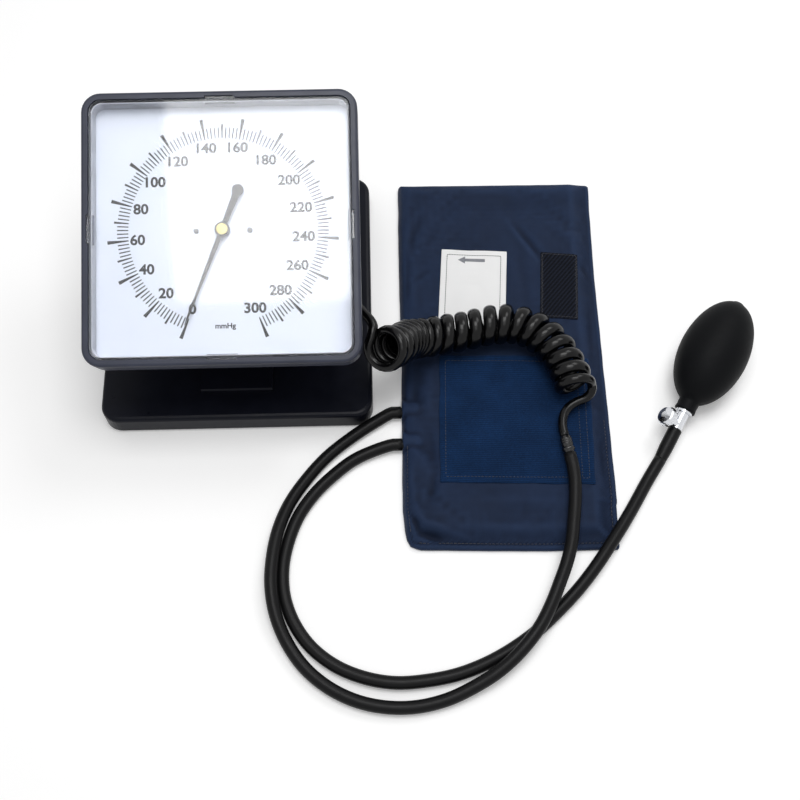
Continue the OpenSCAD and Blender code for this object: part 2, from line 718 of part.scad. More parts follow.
// The sector: a toothed rim on two spokes, its shaft and the tail pin that the rocker pushes
module sector_gear() {
    span = sector_swing / 2 + 8;
    rest = mesh_angle - sector_swing / 2;
    first = ceil((-span) / (360 / sector_teeth));
    teeth = [for (i = [first : -first]) i];
    tooth_step = 360 / sector_teeth;
    half_phase = 0.5 * tooth_step;
    rim_in = gear_m * sector_teeth / 2 - 3.5;
    rim_a = teeth[0] * tooth_step - tooth_step + half_phase;
    rim_b = teeth[len(teeth) - 1] * tooth_step + tooth_step + half_phase;
    root = gear_m * sector_teeth / 2 - 1.2 * gear_m;
    turn_to_rest = tooth_step * round((-sector_swing / 2) / tooth_step) + sector_swing / 2;
    color(BRASS) in_case() translate([sector_x, sector_y, 0]) union() {
        translate([0, 0, -sector_z - sector_t]) linear_extrude(sector_t)
            rotate(rest + turn_to_rest) union() {
                polygon(concat(
                    [for (i = teeth) each tooth_points(gear_m, sector_teeth, i * tooth_step + half_phase)],
                    [root * [cos(rim_b), sin(rim_b)]],
                    [for (k = [0 : 12]) let (a = rim_b + (rim_a - rim_b) * k / 12)
                        rim_in * [cos(a), sin(a)]],
                    [root * [cos(rim_a), sin(rim_a)]]));
                for (a = [rim_a + 1.5, (rim_a + rim_b) / 2, rim_b - 1.5]) rotate(a)
                    translate([0, -1]) square([rim_in + 0.6, 2]);
                circle(3);
            }
        rotate(-sector_swing / 2) translate([0, 0, -sector_z - sector_t]) {
            translate([0, -1.4, 0]) cube([pin_orbit, 2.8, sector_t]);
            translate([pin_orbit, 0, 0]) cylinder(r = 1.4, h = sector_t);
            translate([pin_orbit, 0, -pin_len]) cylinder(r = pin_r, h = pin_len + 0.1);
        }
        translate([0, 0, -back_plate_z - mplate_t])
            cylinder(r = sector_shaft_r, h = back_plate_z - front_plate_z + mplate_t);
        translate([0, 0, -sector_z - sector_t - 1]) cylinder(r = 2, h = sector_t + 2);
    }
}

// The rocking shaft turns the capsule's lift into a push on the sector's tail pin
module rocking_shaft() {
    arm_x = sector_x + pin_orbit * cos(sector_swing / 2) + 0.1;
    color(STEEL) in_case() translate([0, rocker_y, -rocker_z]) rotate([rocker_swing / 2, 0, 0]) union() {
        translate([bearing_x[0] - 1, 0, 0]) rotate([0, 90, 0])
            cylinder(r = rocker_r, h = bearing_x[1] - bearing_x[0] + 2);
        translate([bearing_x[0] + 1.2, 0, 0]) rotate([0, 90, 0]) cylinder(r = 1.7, h = 1.2);
        translate([bearing_x[1] - 2.4, 0, 0]) rotate([0, 90, 0]) cylinder(r = 1.7, h = 1.2);
        translate([-2, -short_arm - 1.5, -arm_t / 2]) cube([4, short_arm + 1.5, arm_t]);
        translate([arm_x - 1.5, -arm_t / 2, 0]) cube([3, arm_t, long_arm + 0.3]);
        for (x = [0, arm_x]) translate([x - 2, 0, 0]) rotate([0, 90, 0]) cylinder(r = 1.7, h = 4);
    }
}

module movement_outline() {
    round_rect(mplate_w, mplate_h, 5);
}

module movement_front_plate() {
    color(BRASS) in_case() difference() {
        union() {
            translate([0, 0, -front_plate_z - mplate_t]) linear_extrude(mplate_t) movement_outline();
            translate([spring_out + 0.7, 0, -spring_z - spring_t])
                cylinder(r = 0.7, h = spring_z + spring_t - front_plate_z);
        }
        translate([0, 0, -front_plate_z - mplate_t - cut]) {
            cylinder(r = arbor_r + run_gap, h = mplate_t + 2 * cut);
            translate([sector_x, sector_y, 0]) cylinder(r = sector_shaft_r + run_gap, h = mplate_t + 2 * cut);
            for (x = [-1, 1]) translate([x * dial_screw_x, 0, 0]) cylinder(r = 0.9, h = mplate_t + 2 * cut);
        }
    }
}

module movement_back_plate() {
    ear_w = 2;
    slot_x = sector_x + pin_orbit;
    color(BRASS) in_case() difference() {
        union() {
            translate([0, 0, -back_plate_z - mplate_t]) linear_extrude(mplate_t) movement_outline();
            for (x = bearing_x) translate([x - ear_w / 2, rocker_y - 2.5, -rocker_z - 2.5])
                cube([ear_w, 5, rocker_z - back_plate_z - mplate_t + 2.6]);
        }
        translate([0, 0, -back_plate_z - mplate_t - cut]) {
            cylinder(r = arbor_r + run_gap, h = mplate_t + 2 * cut);
            translate([sector_x, sector_y, 0]) cylinder(r = sector_shaft_r + run_gap, h = mplate_t + 2 * cut);
            at_corners(pillar_x, pillar_y) cylinder(r = 1.5, h = mplate_t + 2 * cut);
            translate([slot_x - 2.4, rocker_y - 3.4, 0]) cube([4.2, 7.6, mplate_t + 2 * cut]);
        }
        for (x = bearing_x) translate([x - ear_w / 2 - cut, rocker_y, -rocker_z]) rotate([0, 90, 0])
            cylinder(r = rocker_r + run_gap, h = ear_w + 2 * cut);
    }
}

module movement_pillars() {
    color(BRASS) in_case() at_corners(pillar_x, pillar_y) {
        translate([0, 0, -shell_floor]) cylinder(r = 3, h = shell_floor - back_plate_z - mplate_t);
        translate([0, 0, -back_plate_z - mplate_t - 0.1]) cylinder(r = 1.5, h = mplate_t + 0.2);
        translate([0, 0, -back_plate_z]) cylinder(r = 2.5, h = back_plate_z - front_plate_z - mplate_t);
    }
}

// Two corrugated diaphragms joined at the rim
module pressure_capsule() {
    wave = 0.5;
    rim = 1.2;
    steps = 40;
    function lift(r) = r > capsule_r - 2 ? 0 : (capsule_t / 2 - rim / 2 - wave)
        * (1 - pow(r / capsule_r, 4)) + wave * (0.5 + 0.5 * cos(r * 360 / 5));
    outline = [for (i = [0 : steps]) let (r = capsule_r * i / steps) [r, rim / 2 + lift(r)]];
    peak = outline[0][1];
    color(BRASS) in_case() translate([0, 0, -capsule_z - capsule_t / 2]) rotate_extrude()
        polygon(concat(
            [for (p = outline) [p[0], p[0] < 4 ? capsule_t / 2 : min(p[1], peak)]],
            [for (i = [steps : -1 : 0]) let (p = outline[i])
                [p[0], p[0] < 4 ? -capsule_t / 2 : -min(p[1], peak)]]));
}

module capsule_button() {
    color(STEEL) in_case() translate([0, 0, -capsule_z]) rotate_extrude()
        polygon([[0, 0], [3, 0], [3, 0.5], [1.6, 1.2], [0.6, capsule_z - button_top],
            [0, capsule_z - button_top]]);
}

module capsule_base() {
    bore_r = 0.8;
    color(BRASS) in_case() difference() {
        union() {
            translate([0, 0, -shell_floor]) cylinder(r = 11, h = 1.8);
            translate([0, 0, -shell_floor]) cylinder(r = 7, h = shell_floor - capsule_back);
            translate([0, 0, -port_z]) rotate([90, 0, 0]) cylinder(r = nipple_r, h = nipple_end);
            translate([0, 0, -port_z]) rotate([90, 0, 0]) cylinder(r = 2.6, h = nipple_end - 6);
        }
        translate([0, 0, -port_z]) rotate([90, 0, 0]) cylinder(r = bore_r, h = nipple_end + 8);
        translate([0, 0, -port_z]) cylinder(r = bore_r, h = shell_floor);
    }
}

// The rubber tube inside the case, from the capsule to the inlet
module inner_tube() {
    run_end = shell_w / 2 - shell_wall - 3;
    module section() {
        difference() {
            circle(tube_r);
            circle(nipple_r + run_gap);
        }
    }
    color(RUBBER) in_case() translate([0, 0, -port_z]) {
        translate([0, -nipple_end + 6, 0]) rotate([90, 0, 0]) linear_extrude(6) section();
        translate([tube_bend, -nipple_end, 0]) rotate(180) rotate_extrude(angle = 90)
            translate([tube_bend, 0]) section();
        translate([tube_bend, inlet_y, 0]) rotate([90, 0, 90])
            linear_extrude(run_end - tube_bend) section();
    }
}

module inlet_barb() {
    inner_wall = shell_w / 2 - shell_wall;
    color(STEEL) in_case() translate([0, inlet_y, -port_z]) rotate([0, 90, 0]) difference() {
        union() {
            translate([0, 0, inner_wall - 12]) cylinder(r = nipple_r, h = 12);
            translate([0, 0, inner_wall - 3]) cylinder(r = 3.6, h = 3);
            translate([0, 0, inner_wall - 0.1]) cylinder(r = 2.5, h = shell_wall + 0.2);
            translate([0, 0, shell_w / 2]) cylinder(r = 4, h = 3);
            translate([0, 0, shell_w / 2]) cylinder(r = cord_r, h = inlet_end - shell_w / 2);
        }
        translate([0, 0, inner_wall - 12 - cut]) cylinder(r = 0.8, h = 40);
    }
}

module coil_lead() {
    color(RUBBER) swept_tube(lead_route, cord_r, 8, from_dir = [1, 0, 0]);
}

module coil_cord() {
    color(RUBBER) swept_tube(coil_route, coil_r, 12);
}

module coil_tail() {
    color(RUBBER) swept_tube(tail_route, cord_r, 8, to_dir = connector_dir);
}

// The connector between the curly tube and the hose, with a collar near its lower end
module tube_connector() {
    length = norm(connector_to - connector_from);
    collar_at = length * 0.62;
    color(RUBBER) translate(connector_from) rotate([0, 0, atan2(connector_dir[1], connector_dir[0])])
        rotate([0, 90, 0]) rotate_extrude()
            polygon([[0, 0], [connector_r - 0.4, 0], [connector_r, 0.5], [connector_r, collar_at - 0.6],
                [connector_r + 0.4, collar_at - 0.2], [connector_r + 0.4, collar_at + 1.4],
                [connector_r, collar_at + 1.8], [connector_r, length - 0.4],
                [connector_r - 0.3, length], [0, length]]);
}

module hose_a() {
    color(RUBBER) swept_tube(hose_a_route, hose_r, from_dir = connector_dir, to_dir = [1, 0, 0]);
}

module hose_b() {
    color(RUBBER) swept_tube(hose_b_route, hose_r, from_dir = [-1, 0, 0], to_dir = bulb_dir);
}

module cuff_sleeve() {
    pillow_w = cuff_w - hem_w;
    pillow_l = cuff_l - hem_w;
    color([0.10, 0.12, 0.24]) difference() {
        union() {
            translate([cuff_x + cuff_w / 2, cuff_y + cuff_l / 2, 0])
                round_block(cuff_w, cuff_l, 6, 0, hem_t);
            translate([cuff_x + pillow_w / 2, cuff_y + hem_w + pillow_l / 2, 0])
                soft_block(pillow_w, pillow_l, 9, 0, cuff_t, 4);
        }
        translate(bladder_at - seat_gap * [1, 1, 1]) cube(bladder_size + 2 * seat_gap * [1, 1, 1]);
        for (y = nozzle_ys) translate([cuff_x - cut, y, nozzle_z]) rotate([0, 90, 0])
            cylinder(r = hose_r + run_gap, h = bladder_at[0] - cuff_x + cut + 5);
    }
}

module bladder() {
    color([0.05, 0.05, 0.05]) union() {
        translate(bladder_at) cube(bladder_size);
        for (y = nozzle_ys) translate([nozzle_end, y, nozzle_z]) rotate([0, 90, 0])
            cylinder(r = hose_r, h = bladder_at[0] - nozzle_end + 4);
    }
}

module loop_patch() {
    loop_w = cuff_w - loop_left - loop_right;
    color([0.08, 0.16, 0.36]) translate([cuff_x + loop_left + loop_w / 2, loop_y + loop_l / 2, cuff_t])
        rotate(loop_turn) round_block(loop_w, loop_l, 2, 0, patch_t);
}

module hook_patch() {
    color([0.04, 0.04, 0.07]) translate([hook_x, patch_y, cuff_t])
        rotate(hook_turn) round_block(hook_w, hook_l, 1, 0, hook_t);
}

module cuff_label() {
    color("white") translate([label_x, label_y, cuff_t])
        rotate(label_turn) round_block(label_w, label_l, 1, 0, label_t);
}

// The bulb's outline: a neck and an egg, as radius against distance from the neck's end
function egg(half, radius, low, high, steps) =
    [for (i = [0 : steps]) let (a = low + (high - low) * i / steps)
        [radius * sin(a), egg_mid - half * cos(a)]];

module bulb() {
    inner_half = egg_half - bulb_wall;
    inner_r = bulb_r - bulb_wall;
    neck_a = asin(bulb_neck_r / bulb_r);
    bore_a = asin((spigot_r + run_gap) / inner_r);
    tip_a = 180 - asin(check_r / bulb_r);
    inner_tip_a = 180 - asin(check_r / inner_r);
    color(RUBBER) in_bulb() rotate([0, 90, 0]) rotate_extrude(convexity = 4)
        polygon(concat(
            [[spigot_r + run_gap, 0], [bulb_neck_r - 0.6, 0], [bulb_neck_r, 0.8]],
            egg(egg_half, bulb_r, neck_a, tip_a, 22),
            [[check_r, egg_mid + inner_half * cos(asin(check_r / inner_r))]],
            egg(inner_half, inner_r, inner_tip_a, bore_a, 18)));
}

module bulb_check_valve() {
    seat = egg_mid + egg_half * cos(asin(check_r / bulb_r));
    color([0.12, 0.12, 0.13]) in_bulb() rotate([0, 90, 0]) rotate_extrude()
        polygon([[0.9, seat - 5], [3.2, seat - 5], [3.2, seat - 3.4], [check_r, seat - 3.4],
            [check_r, seat], [check_r - 0.4, seat + 0.8], [0.9, seat + 1.2]]);
}

module valve_body() {
    boss_len = knob_dist - 4.6;
    difference() {
        color([0.8, 0.81, 0.83]) union() {
            in_bulb() rotate([0, 90, 0]) rotate_extrude()
                polygon([[0, -valve_len - barb_len], [barb_r - 0.6, -valve_len - barb_len],
                    [barb_r, -valve_len - barb_len + 3], [barb_r, -valve_len], [valve_r, -valve_len],
                    [valve_r, -1.5], [flange_r, -1.5], [flange_r, 0], [spigot_r, 0],
                    [spigot_r, spigot_len], [0, spigot_len]]);
            in_knob() cylinder(r = 3.3, h = boss_len);
        }
        in_bulb() translate([-valve_len - barb_len - cut, 0, 0]) rotate([0, 90, 0])
            cylinder(r = 0.9, h = valve_len + barb_len + spigot_len + 2 * cut);
        in_knob() translate([0, 0, 1.9]) cylinder(r = spindle_r + run_gap, h = boss_len);
    }
}

module release_spindle() {
    color([0.8, 0.81, 0.83]) in_knob() translate([0, 0, 2.2]) cylinder(r = spindle_r, h = knob_dist + 0.6);
}

// The knurled knob: a rounded disc with shallow grooves around it
module release_knob() {
    half = 4;
    grooves = 20;
    color([0.8, 0.81, 0.83]) in_knob() translate([0, 0, knob_dist]) difference() {
        rotate_extrude() polygon(concat([[0, -half], [2.4, -half]],
            [for (a = [-60 : 15 : 60]) [knob_r - 3 + 3 * cos(a), 3.9 * sin(a)]], [[2.4, half], [0, half]]));
        translate([0, 0, -half - cut]) cylinder(r = spindle_r + run_gap, h = half + cut + 3);
        for (i = [0 : grooves - 1]) rotate(i * 360 / grooves) translate([knob_r + 0.35, 0, -half])
            cylinder(r = 0.6, h = 2 * half);
    }
}

module valve_sleeve() {
    color(RUBBER) in_bulb() rotate([0, 90, 0]) rotate_extrude()
        polygon([[0, -valve_len - sleeve_len], [hose_r, -valve_len - sleeve_len],
            [hose_r + 0.6, -valve_len - sleeve_len + 8], [hose_r + 0.6, -valve_len - 0.8],
            [hose_r, -valve_len], [barb_r + run_gap, -valve_len],
            [barb_r + run_gap, -valve_len - barb_len - 0.2], [0, -valve_len - barb_len - 0.2]]);
}

base_shell();
base_plate();
base_pad();
base_screws();
pedestal();
pedestal_screws();
hinge_bolt();
hinge_nut();
friction_washers();
tilt_lug();
lug_screws();
rear_shell();
rear_shell_screws();
case_frame();
window();
dial_plate();
dial_scale();
dial_screws();
pointer();
pointer_cap();
pinion_arbor();
hairspring();
sector_gear();
rocking_shaft();
movement_front_plate();
movement_back_plate();
movement_pillars();
pressure_capsule();
capsule_button();
capsule_base();
inner_tube();
inlet_barb();
coil_lead();
coil_cord();
coil_tail();
tube_connector();
hose_a();
hose_b();
cuff_sleeve();
bladder();
loop_patch();
hook_patch();
cuff_label();
bulb();
bulb_check_valve();
valve_body();
release_spindle();
release_knob();
valve_sleeve();
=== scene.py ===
from math import copysign, cos, exp, hypot, pi, radians, sin, sqrt

import bpy
import numpy as np
from mathutils import Matrix, Vector, noise
from numpy.linalg import norm

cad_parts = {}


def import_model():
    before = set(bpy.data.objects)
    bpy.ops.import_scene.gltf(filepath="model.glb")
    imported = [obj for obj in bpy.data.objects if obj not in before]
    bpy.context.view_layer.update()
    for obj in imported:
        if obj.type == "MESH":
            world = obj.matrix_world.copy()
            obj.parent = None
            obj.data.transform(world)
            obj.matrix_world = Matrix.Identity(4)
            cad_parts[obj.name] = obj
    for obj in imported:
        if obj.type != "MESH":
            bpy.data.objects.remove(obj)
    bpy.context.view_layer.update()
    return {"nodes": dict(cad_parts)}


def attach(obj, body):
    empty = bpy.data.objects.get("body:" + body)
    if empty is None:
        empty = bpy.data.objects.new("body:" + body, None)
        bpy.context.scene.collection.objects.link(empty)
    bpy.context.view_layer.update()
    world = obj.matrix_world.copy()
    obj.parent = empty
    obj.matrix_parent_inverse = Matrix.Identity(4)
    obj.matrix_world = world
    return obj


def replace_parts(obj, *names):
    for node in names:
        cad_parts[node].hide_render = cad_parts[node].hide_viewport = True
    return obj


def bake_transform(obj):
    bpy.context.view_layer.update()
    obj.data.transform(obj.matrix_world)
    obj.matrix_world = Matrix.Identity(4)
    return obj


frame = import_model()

MM = 0.001
NODES = frame["nodes"]
# The photograph's camera as fitted to it: its place, what it looks at, and its lens and sensor in mm
CAMERA_AT, CAMERA_TARGET, LENS, SENSOR = (0.1056, -0.4399, 0.7825), (0.1144, -0.0801, 0), 54, 36


def add_object(name, data):
    obj = bpy.data.objects.new(name, data)
    bpy.context.scene.collection.objects.link(obj)
    return obj


def aim(obj, at, target):
    """Puts a camera or a lamp at a place and turns it towards a target."""
    obj.location = at
    obj.rotation_mode = "QUATERNION"
    obj.rotation_quaternion = (Vector(target) - Vector(at)).to_track_quat("-Z", "Y")


def add_camera():
    data = bpy.data.cameras.new("camera")
    data.lens, data.sensor_width = LENS, SENSOR
    data.clip_start, data.clip_end = 0.01, 20
    cam = add_object("camera", data)
    aim(cam, CAMERA_AT, CAMERA_TARGET)
    bpy.context.scene.camera = cam


add_camera()


# Colours and node helpers

def srgb(r, g, b):
    def linear(c):
        c /= 255
        return c / 12.92 if c <= 0.04045 else ((c + 0.055) / 1.055) ** 2.4
    return (linear(r), linear(g), linear(b), 1)


def shade(colour, factor):
    return tuple(min(1, c * factor) for c in colour[:3]) + (1,)


class Nodes:
    """Adds nodes to the tree of a material or of the world."""

    def __init__(self, tree):
        self.tree = tree

    def add(self, kind, props=(), **inputs):
        """A node with its properties, and its inputs by name (_ for a space) or by number (i0, i1)."""
        n = self.tree.nodes.new("ShaderNode" + kind)
        for key, value in dict(props).items():
            setattr(n, key, value)
        for key, value in inputs.items():
            self.feed(n, key.replace("_", " "), value)
        return n

    def feed(self, n, key, value):
        socket = n.inputs[int(key[1:])] if key[0] == "i" and key[1:].isdigit() else n.inputs[key]
        if isinstance(value, bpy.types.NodeSocket):
            self.tree.links.new(value, socket)
        else:
            socket.default_value = value

    def math(self, op, a, b=0.5, c=0.5):
        return self.add("Math", {"operation": op}, i0=a, i1=b, i2=c).outputs[0]

    def weighted(self, *parts):
        """The sum of the sockets, each times its weight."""
        total, *others = [self.math("MULTIPLY", socket, weight) for socket, weight in parts]
        for other in others:
            total = self.math("ADD", total, other)
        return total

    def background_rays(self):
        """1 for rays that show the background: direct, mirrored or through glass, not after a matt bounce."""
        ray = self.add("LightPath").outputs
        bent = self.math("MAXIMUM", ray["Is Glossy Ray"], ray["Is Transmission Ray"])
        shown = self.math("MAXIMUM", ray["Is Camera Ray"], bent)
        return self.math("MULTIPLY", shown, self.math("LESS_THAN", ray["Diffuse Depth"], 0.5))


class Surface(Nodes):
    """A Principled material that is built up from procedural nodes in the piece's own coordinates."""

    def __init__(self, name, **sockets):
        self.mat = bpy.data.materials.new(name)
        self.mat.use_nodes = True
        super().__init__(self.mat.node_tree)
        self.bsdf = self.tree.nodes["Principled BSDF"]
        for key, value in sockets.items():
            self.bsdf.inputs[key.replace("_", " ")].default_value = value
        self.coords = self.add("TexCoord").outputs["Object"]
        self.height = None

    def noise(self, scale, detail=2.0, rough=0.5, coords=None):
        return self.add("TexNoise", Vector=coords or self.coords, Scale=scale,
                        Detail=detail, Roughness=rough).outputs["Fac"]

    def stretched(self, sx, sy, sz, turn=0.0):
        return self.add("Mapping", Vector=self.coords, Scale=(sx, sy, sz),
                        Rotation=(0, 0, turn)).outputs[0]

    def bands(self, period, axis, coords=None):
        """A smooth 0 to 1 wave along an axis with the given period in metres."""
        return self.add("TexWave", {"wave_type": "BANDS", "bands_direction": axis,
                        "wave_profile": "SIN"}, Vector=coords or self.coords,
                        Scale=pi / 10 / period).outputs["Fac"]

    def ramp(self, fac, *stops):
        n = self.add("ValToRGB", Fac=fac)
        ends = n.color_ramp.elements
        while len(ends) < len(stops):
            ends.new(0.5)
        for e, (at, colour) in zip(ends, stops):
            e.position, e.color = at, colour
        return n.outputs["Color"]

    def colour(self, value):
        self.feed(self.bsdf, "Base Color", value)

    def tint(self, fac, base, *stops):
        """Colours the surface in shades of base: each stop is (position, factor)."""
        self.colour(self.ramp(fac, *((at, shade(base, factor)) for at, factor in stops)))

    def rough(self, fac, low, high):
        n = self.add("MapRange", Value=fac, To_Min=low, To_Max=high)
        self.feed(self.bsdf, "Roughness", n.outputs[0])

    def bump(self, height, distance, strength=1.0):
        n = self.add("Bump", Height=height, Strength=strength, Distance=distance)
        if self.height is not None:
            self.feed(n, "Normal", self.height)
        self.height = n.outputs[0]
        self.feed(self.bsdf, "Normal", self.height)

    def show(self, shader):
        self.feed(self.tree.nodes["Material Output"], "Surface", shader)


def plastic(name, base, rough, grain=1500, depth=0.00002, **sockets):
    """Moulded plastic: fine spark-eroded grain, a little cloudiness and faint rubbed patches."""
    s = Surface(name, **sockets)
    s.tint(s.noise(60, 3), base, (0.3, 0.86), (0.7, 1.12))
    s.rough(s.noise(140, 4), rough - 0.07, rough + 0.09)
    s.bump(s.noise(grain, 2), depth)
    return s.mat


def metal(name, base, rough, brushed=None, **sockets):
    s = Surface(name, Metallic=1.0, **sockets)
    grain = s.noise(400, 3) if brushed is None else s.noise(90, 5, 0.6, s.stretched(*brushed))
    s.tint(grain, base, (0.25, 0.9), (0.75, 1.06))
    s.rough(grain, rough - 0.06, rough + 0.08)
    s.bump(grain, 0.00001)
    return s.mat


def rubber(name, base, rough, dust=1.35, pores=0.00003, **sockets):
    """Black rubber: fine pores and a faint bloom that is paler than the rubber."""
    s = Surface(name, **sockets)
    s.tint(s.noise(55, 4), base, (0.35, 1), (0.8, dust))
    s.rough(s.noise(220, 3), rough - 0.06, rough + 0.08)
    s.bump(s.noise(900, 3), pores)
    return s.mat


def weave(s, period, depth):
    """Plain weave: two thread directions that take turns on top."""
    across, along = s.bands(period, "X"), s.bands(period, "Y")
    over = s.math("MULTIPLY", s.math("SUBTRACT", s.bands(period * 2, "X"), 0.5),
                  s.math("SUBTRACT", s.bands(period * 2, "Y"), 0.5))
    height = s.math("ADD", s.math("MULTIPLY", across, along), over)
    s.bump(height, depth)
    return height


def nylon(name, base):
    """Coated nylon: a fine weave, worn patches, painted shade in the folds' hollows and painted highlight on
    their ridges.
    """
    s = Surface(name, Sheen_Weight=0.02, Sheen_Roughness=0.4, Specular_IOR_Level=0.09)
    woven = weave(s, 0.00042, 0.00009)
    worn = s.noise(26, 4)
    streak = s.noise(60, 4, 0.6, s.stretched(1, 0.12, 1))
    cloth = s.ramp(s.weighted((woven, 0.35), (worn, 0.45), (streak, 0.2)),
                   (0.3, shade(base, 0.7)), (0.5, base), (0.68, shade(base, 1.3)))
    # Painted shade and highlight: the colour is darkened where the mesh is hollow and lightened on its
    # ridges, going by the mesh's pointiness
    hollow = s.add("NewGeometry").outputs["Pointiness"]
    dip = s.ramp(hollow, (0.47, (0.55, 0.55, 0.57, 1)), (0.498, (1, 1, 1, 1)),
                 (0.52, (1.45, 1.45, 1.42, 1)))
    s.colour(s.add("VectorMath", {"operation": "MULTIPLY"}, i0=cloth, i1=dip).outputs[0])
    s.rough(worn, 0.42, 0.62)
    s.bump(s.noise(160, 4), 0.00025, 0.6)
    return s.mat


def loop_pile(name, base):
    """Brushed loop tape: soft pile with fine ribs below it."""
    s = Surface(name, Sheen_Weight=0.05, Sheen_Roughness=0.5, Roughness=0.95, Specular_IOR_Level=0.1)
    pile = s.noise(1500, 3, 0.7)
    rib = s.bands(0.0016, "Y")
    patch = s.noise(45, 4)
    fac = s.weighted((pile, 0.6), (patch, 0.3), (rib, 0.12))
    s.tint(fac, base, (0.38, 0.55), (0.52, 1), (0.64, 1.5))
    s.bump(pile, 0.0004)
    s.bump(rib, 0.0001, 0.5)
    return s.mat


def hook_tape(name, base):
    s = Surface(name, Sheen_Weight=0.01, Roughness=0.6, Specular_IOR_Level=0.06)
    rib = s.bands(0.0024, "X", s.stretched(1, 1, 1, 0.7))
    fine = s.noise(900, 3)
    fac = s.weighted((rib, 0.55), (fine, 0.45))
    s.tint(fac, base, (0.3, 0.5), (0.75, 2.0))
    s.bump(rib, 0.0002)
    s.bump(fine, 0.0001)
    return s.mat


def woven_label(name, base):
    s = Surface(name, Sheen_Weight=0.1, Roughness=0.8)
    fac = s.weighted((weave(s, 0.0005, 0.00005), 0.4), (s.noise(30, 3), 0.5))
    s.tint(fac, base, (0.2, 0.9), (0.7, 1))
    return s.mat


def thread(name, base):
    s = Surface(name, Sheen_Weight=0.2, Roughness=0.6)
    twist = s.bands(0.0004, "X", s.stretched(1, 1, 1, 0.8))
    s.tint(twist, base, (0.2, 0.75), (0.8, 1.2))
    s.bump(twist, 0.00005)
    return s.mat


def enamel(name, base):
    s = Surface(name, Roughness=0.35, Coat_Weight=0.1)
    s.tint(s.noise(35, 3), base, (0.3, 0.975), (0.7, 1))
    s.bump(s.noise(500, 2), 0.000008)
    return s.mat


def print_ink(name, base):
    s = Surface(name, Roughness=0.5)
    s.tint(s.noise(900, 3), base, (0.3, 0.8), (0.7, 1.25))
    return s.mat


def clear_plastic(name):
    """Clear acrylic that lets the rays from lamps through, so that the dial behind it is lit."""
    s = Surface(name, Transmission_Weight=1.0, IOR=1.37, Roughness=0.05)
    s.colour(s.ramp(s.noise(20, 2), (0.3, (0.975, 0.98, 0.985, 1)), (0.7, (0.99, 0.99, 0.995, 1))))
    lamp = s.add("LightPath").outputs["Is Shadow Ray"]
    through = s.add("BsdfTransparent", Color=(0.82, 0.82, 0.83, 1)).outputs[0]
    s.show(s.add("MixShader", i0=lamp, i1=s.bsdf.outputs[0], i2=through).outputs[0])
    return s.mat


# Each look: what makes it, its colour, and what differs from a plain one
LOOKS = {
    "base_plastic": (plastic, (19, 21, 30),
                     dict(rough=0.3, grain=1300, depth=0.00003, Specular_IOR_Level=0.09)),
    "case_plastic": (plastic, (48, 52, 67), dict(rough=0.36, Specular_IOR_Level=0.3)),
    "steel": (metal, (176, 178, 182), dict(rough=0.32)),
    "hinge_metal": (metal, (150, 152, 158), dict(rough=0.36, brushed=(8, 1, 1))),
    "washer_plastic": (plastic, (24, 24, 27), dict(rough=0.5)),
    "pad_rubber": (rubber, (24, 24, 25), dict(rough=0.75)),
    "dial_white": (enamel, (214, 221, 234), {}),
    "dial_print": (print_ink, (22, 23, 27), {}),
    "brass": (metal, (206, 182, 112), dict(rough=0.3, brushed=(1, 8, 1))),
    "cream_cap": (plastic, (232, 214, 126), dict(rough=0.35)),
    "grey_hub": (plastic, (84, 86, 90), dict(rough=0.4)),
    "tube_rubber": (rubber, (14, 14, 15), dict(rough=0.36, dust=1.25, Specular_IOR_Level=0.13)),
    "coil_pvc": (rubber, (5, 5, 6), dict(rough=0.19, dust=1.1, pores=0.00001, Specular_IOR_Level=0.22)),
    "connector_plastic": (plastic, (13, 13, 15), dict(rough=0.2)),
    "cuff_cloth": (nylon, (30, 43, 68), {}),
    "loop_cloth": (loop_pile, (17, 42, 76), {}),
    "loop_thread": (thread, (13, 24, 44), {}),
    "hook_cloth": (hook_tape, (18, 21, 30), {}),
    "label_cloth": (woven_label, (252, 252, 252), {}),
    "navy_thread": (thread, (26, 30, 46), {}),
    "black_thread": (thread, (34, 35, 42), {}),
    "label_thread": (thread, (58, 58, 62), {}),
    "tray_white": (plastic, (186, 189, 198), dict(rough=0.3)),
    # Painted shade: the ridge faces beside the snap tabs are coloured darker than the pale wall, in place of
    # the shade in the slots behind them
    "snap_seat": (plastic, (92, 97, 112), dict(rough=0.4)),
    "grey_print": (print_ink, (120, 122, 128), {}),
    "bulb_rubber": (rubber, (11, 12, 14), dict(rough=0.52, dust=1.3, Specular_IOR_Level=0.07)),
    "valve_chrome": (metal, (214, 216, 220), dict(rough=0.12)),
}
M = {name: make(name, srgb(*colour), **more) for name, (make, colour, more) in LOOKS.items()}
M["clear_window"] = clear_plastic("clear_window")

CAD_LOOKS = {
    "base_plastic": "base_shell pedestal",
    "case_plastic": "tilt_lug rear_shell case_frame",
    "steel": "base_plate base_screws pedestal_screws lug_screws rear_shell_screws pinion_arbor "
             "rocking_shaft capsule_button inlet_barb",
    "grey_hub": "dial_screws",
    "hinge_metal": "hinge_bolt hinge_nut",
    "washer_plastic": "friction_washers bulb_check_valve",
    "pad_rubber": "base_pad",
    "clear_window": "window",
    "dial_white": "dial_plate",
    "dial_print": "pointer",
    "cream_cap": "pointer_cap",
    "brass": "hairspring sector_gear movement_front_plate movement_back_plate movement_pillars "
             "pressure_capsule capsule_base",
    "tube_rubber": "inner_tube valve_sleeve bladder",
    "valve_chrome": "valve_body release_spindle release_knob",
}
for look, names in CAD_LOOKS.items():
    for name in names.split():
        NODES[name].data.materials.clear()
        NODES[name].data.materials.append(M[look])


# Mesh helpers

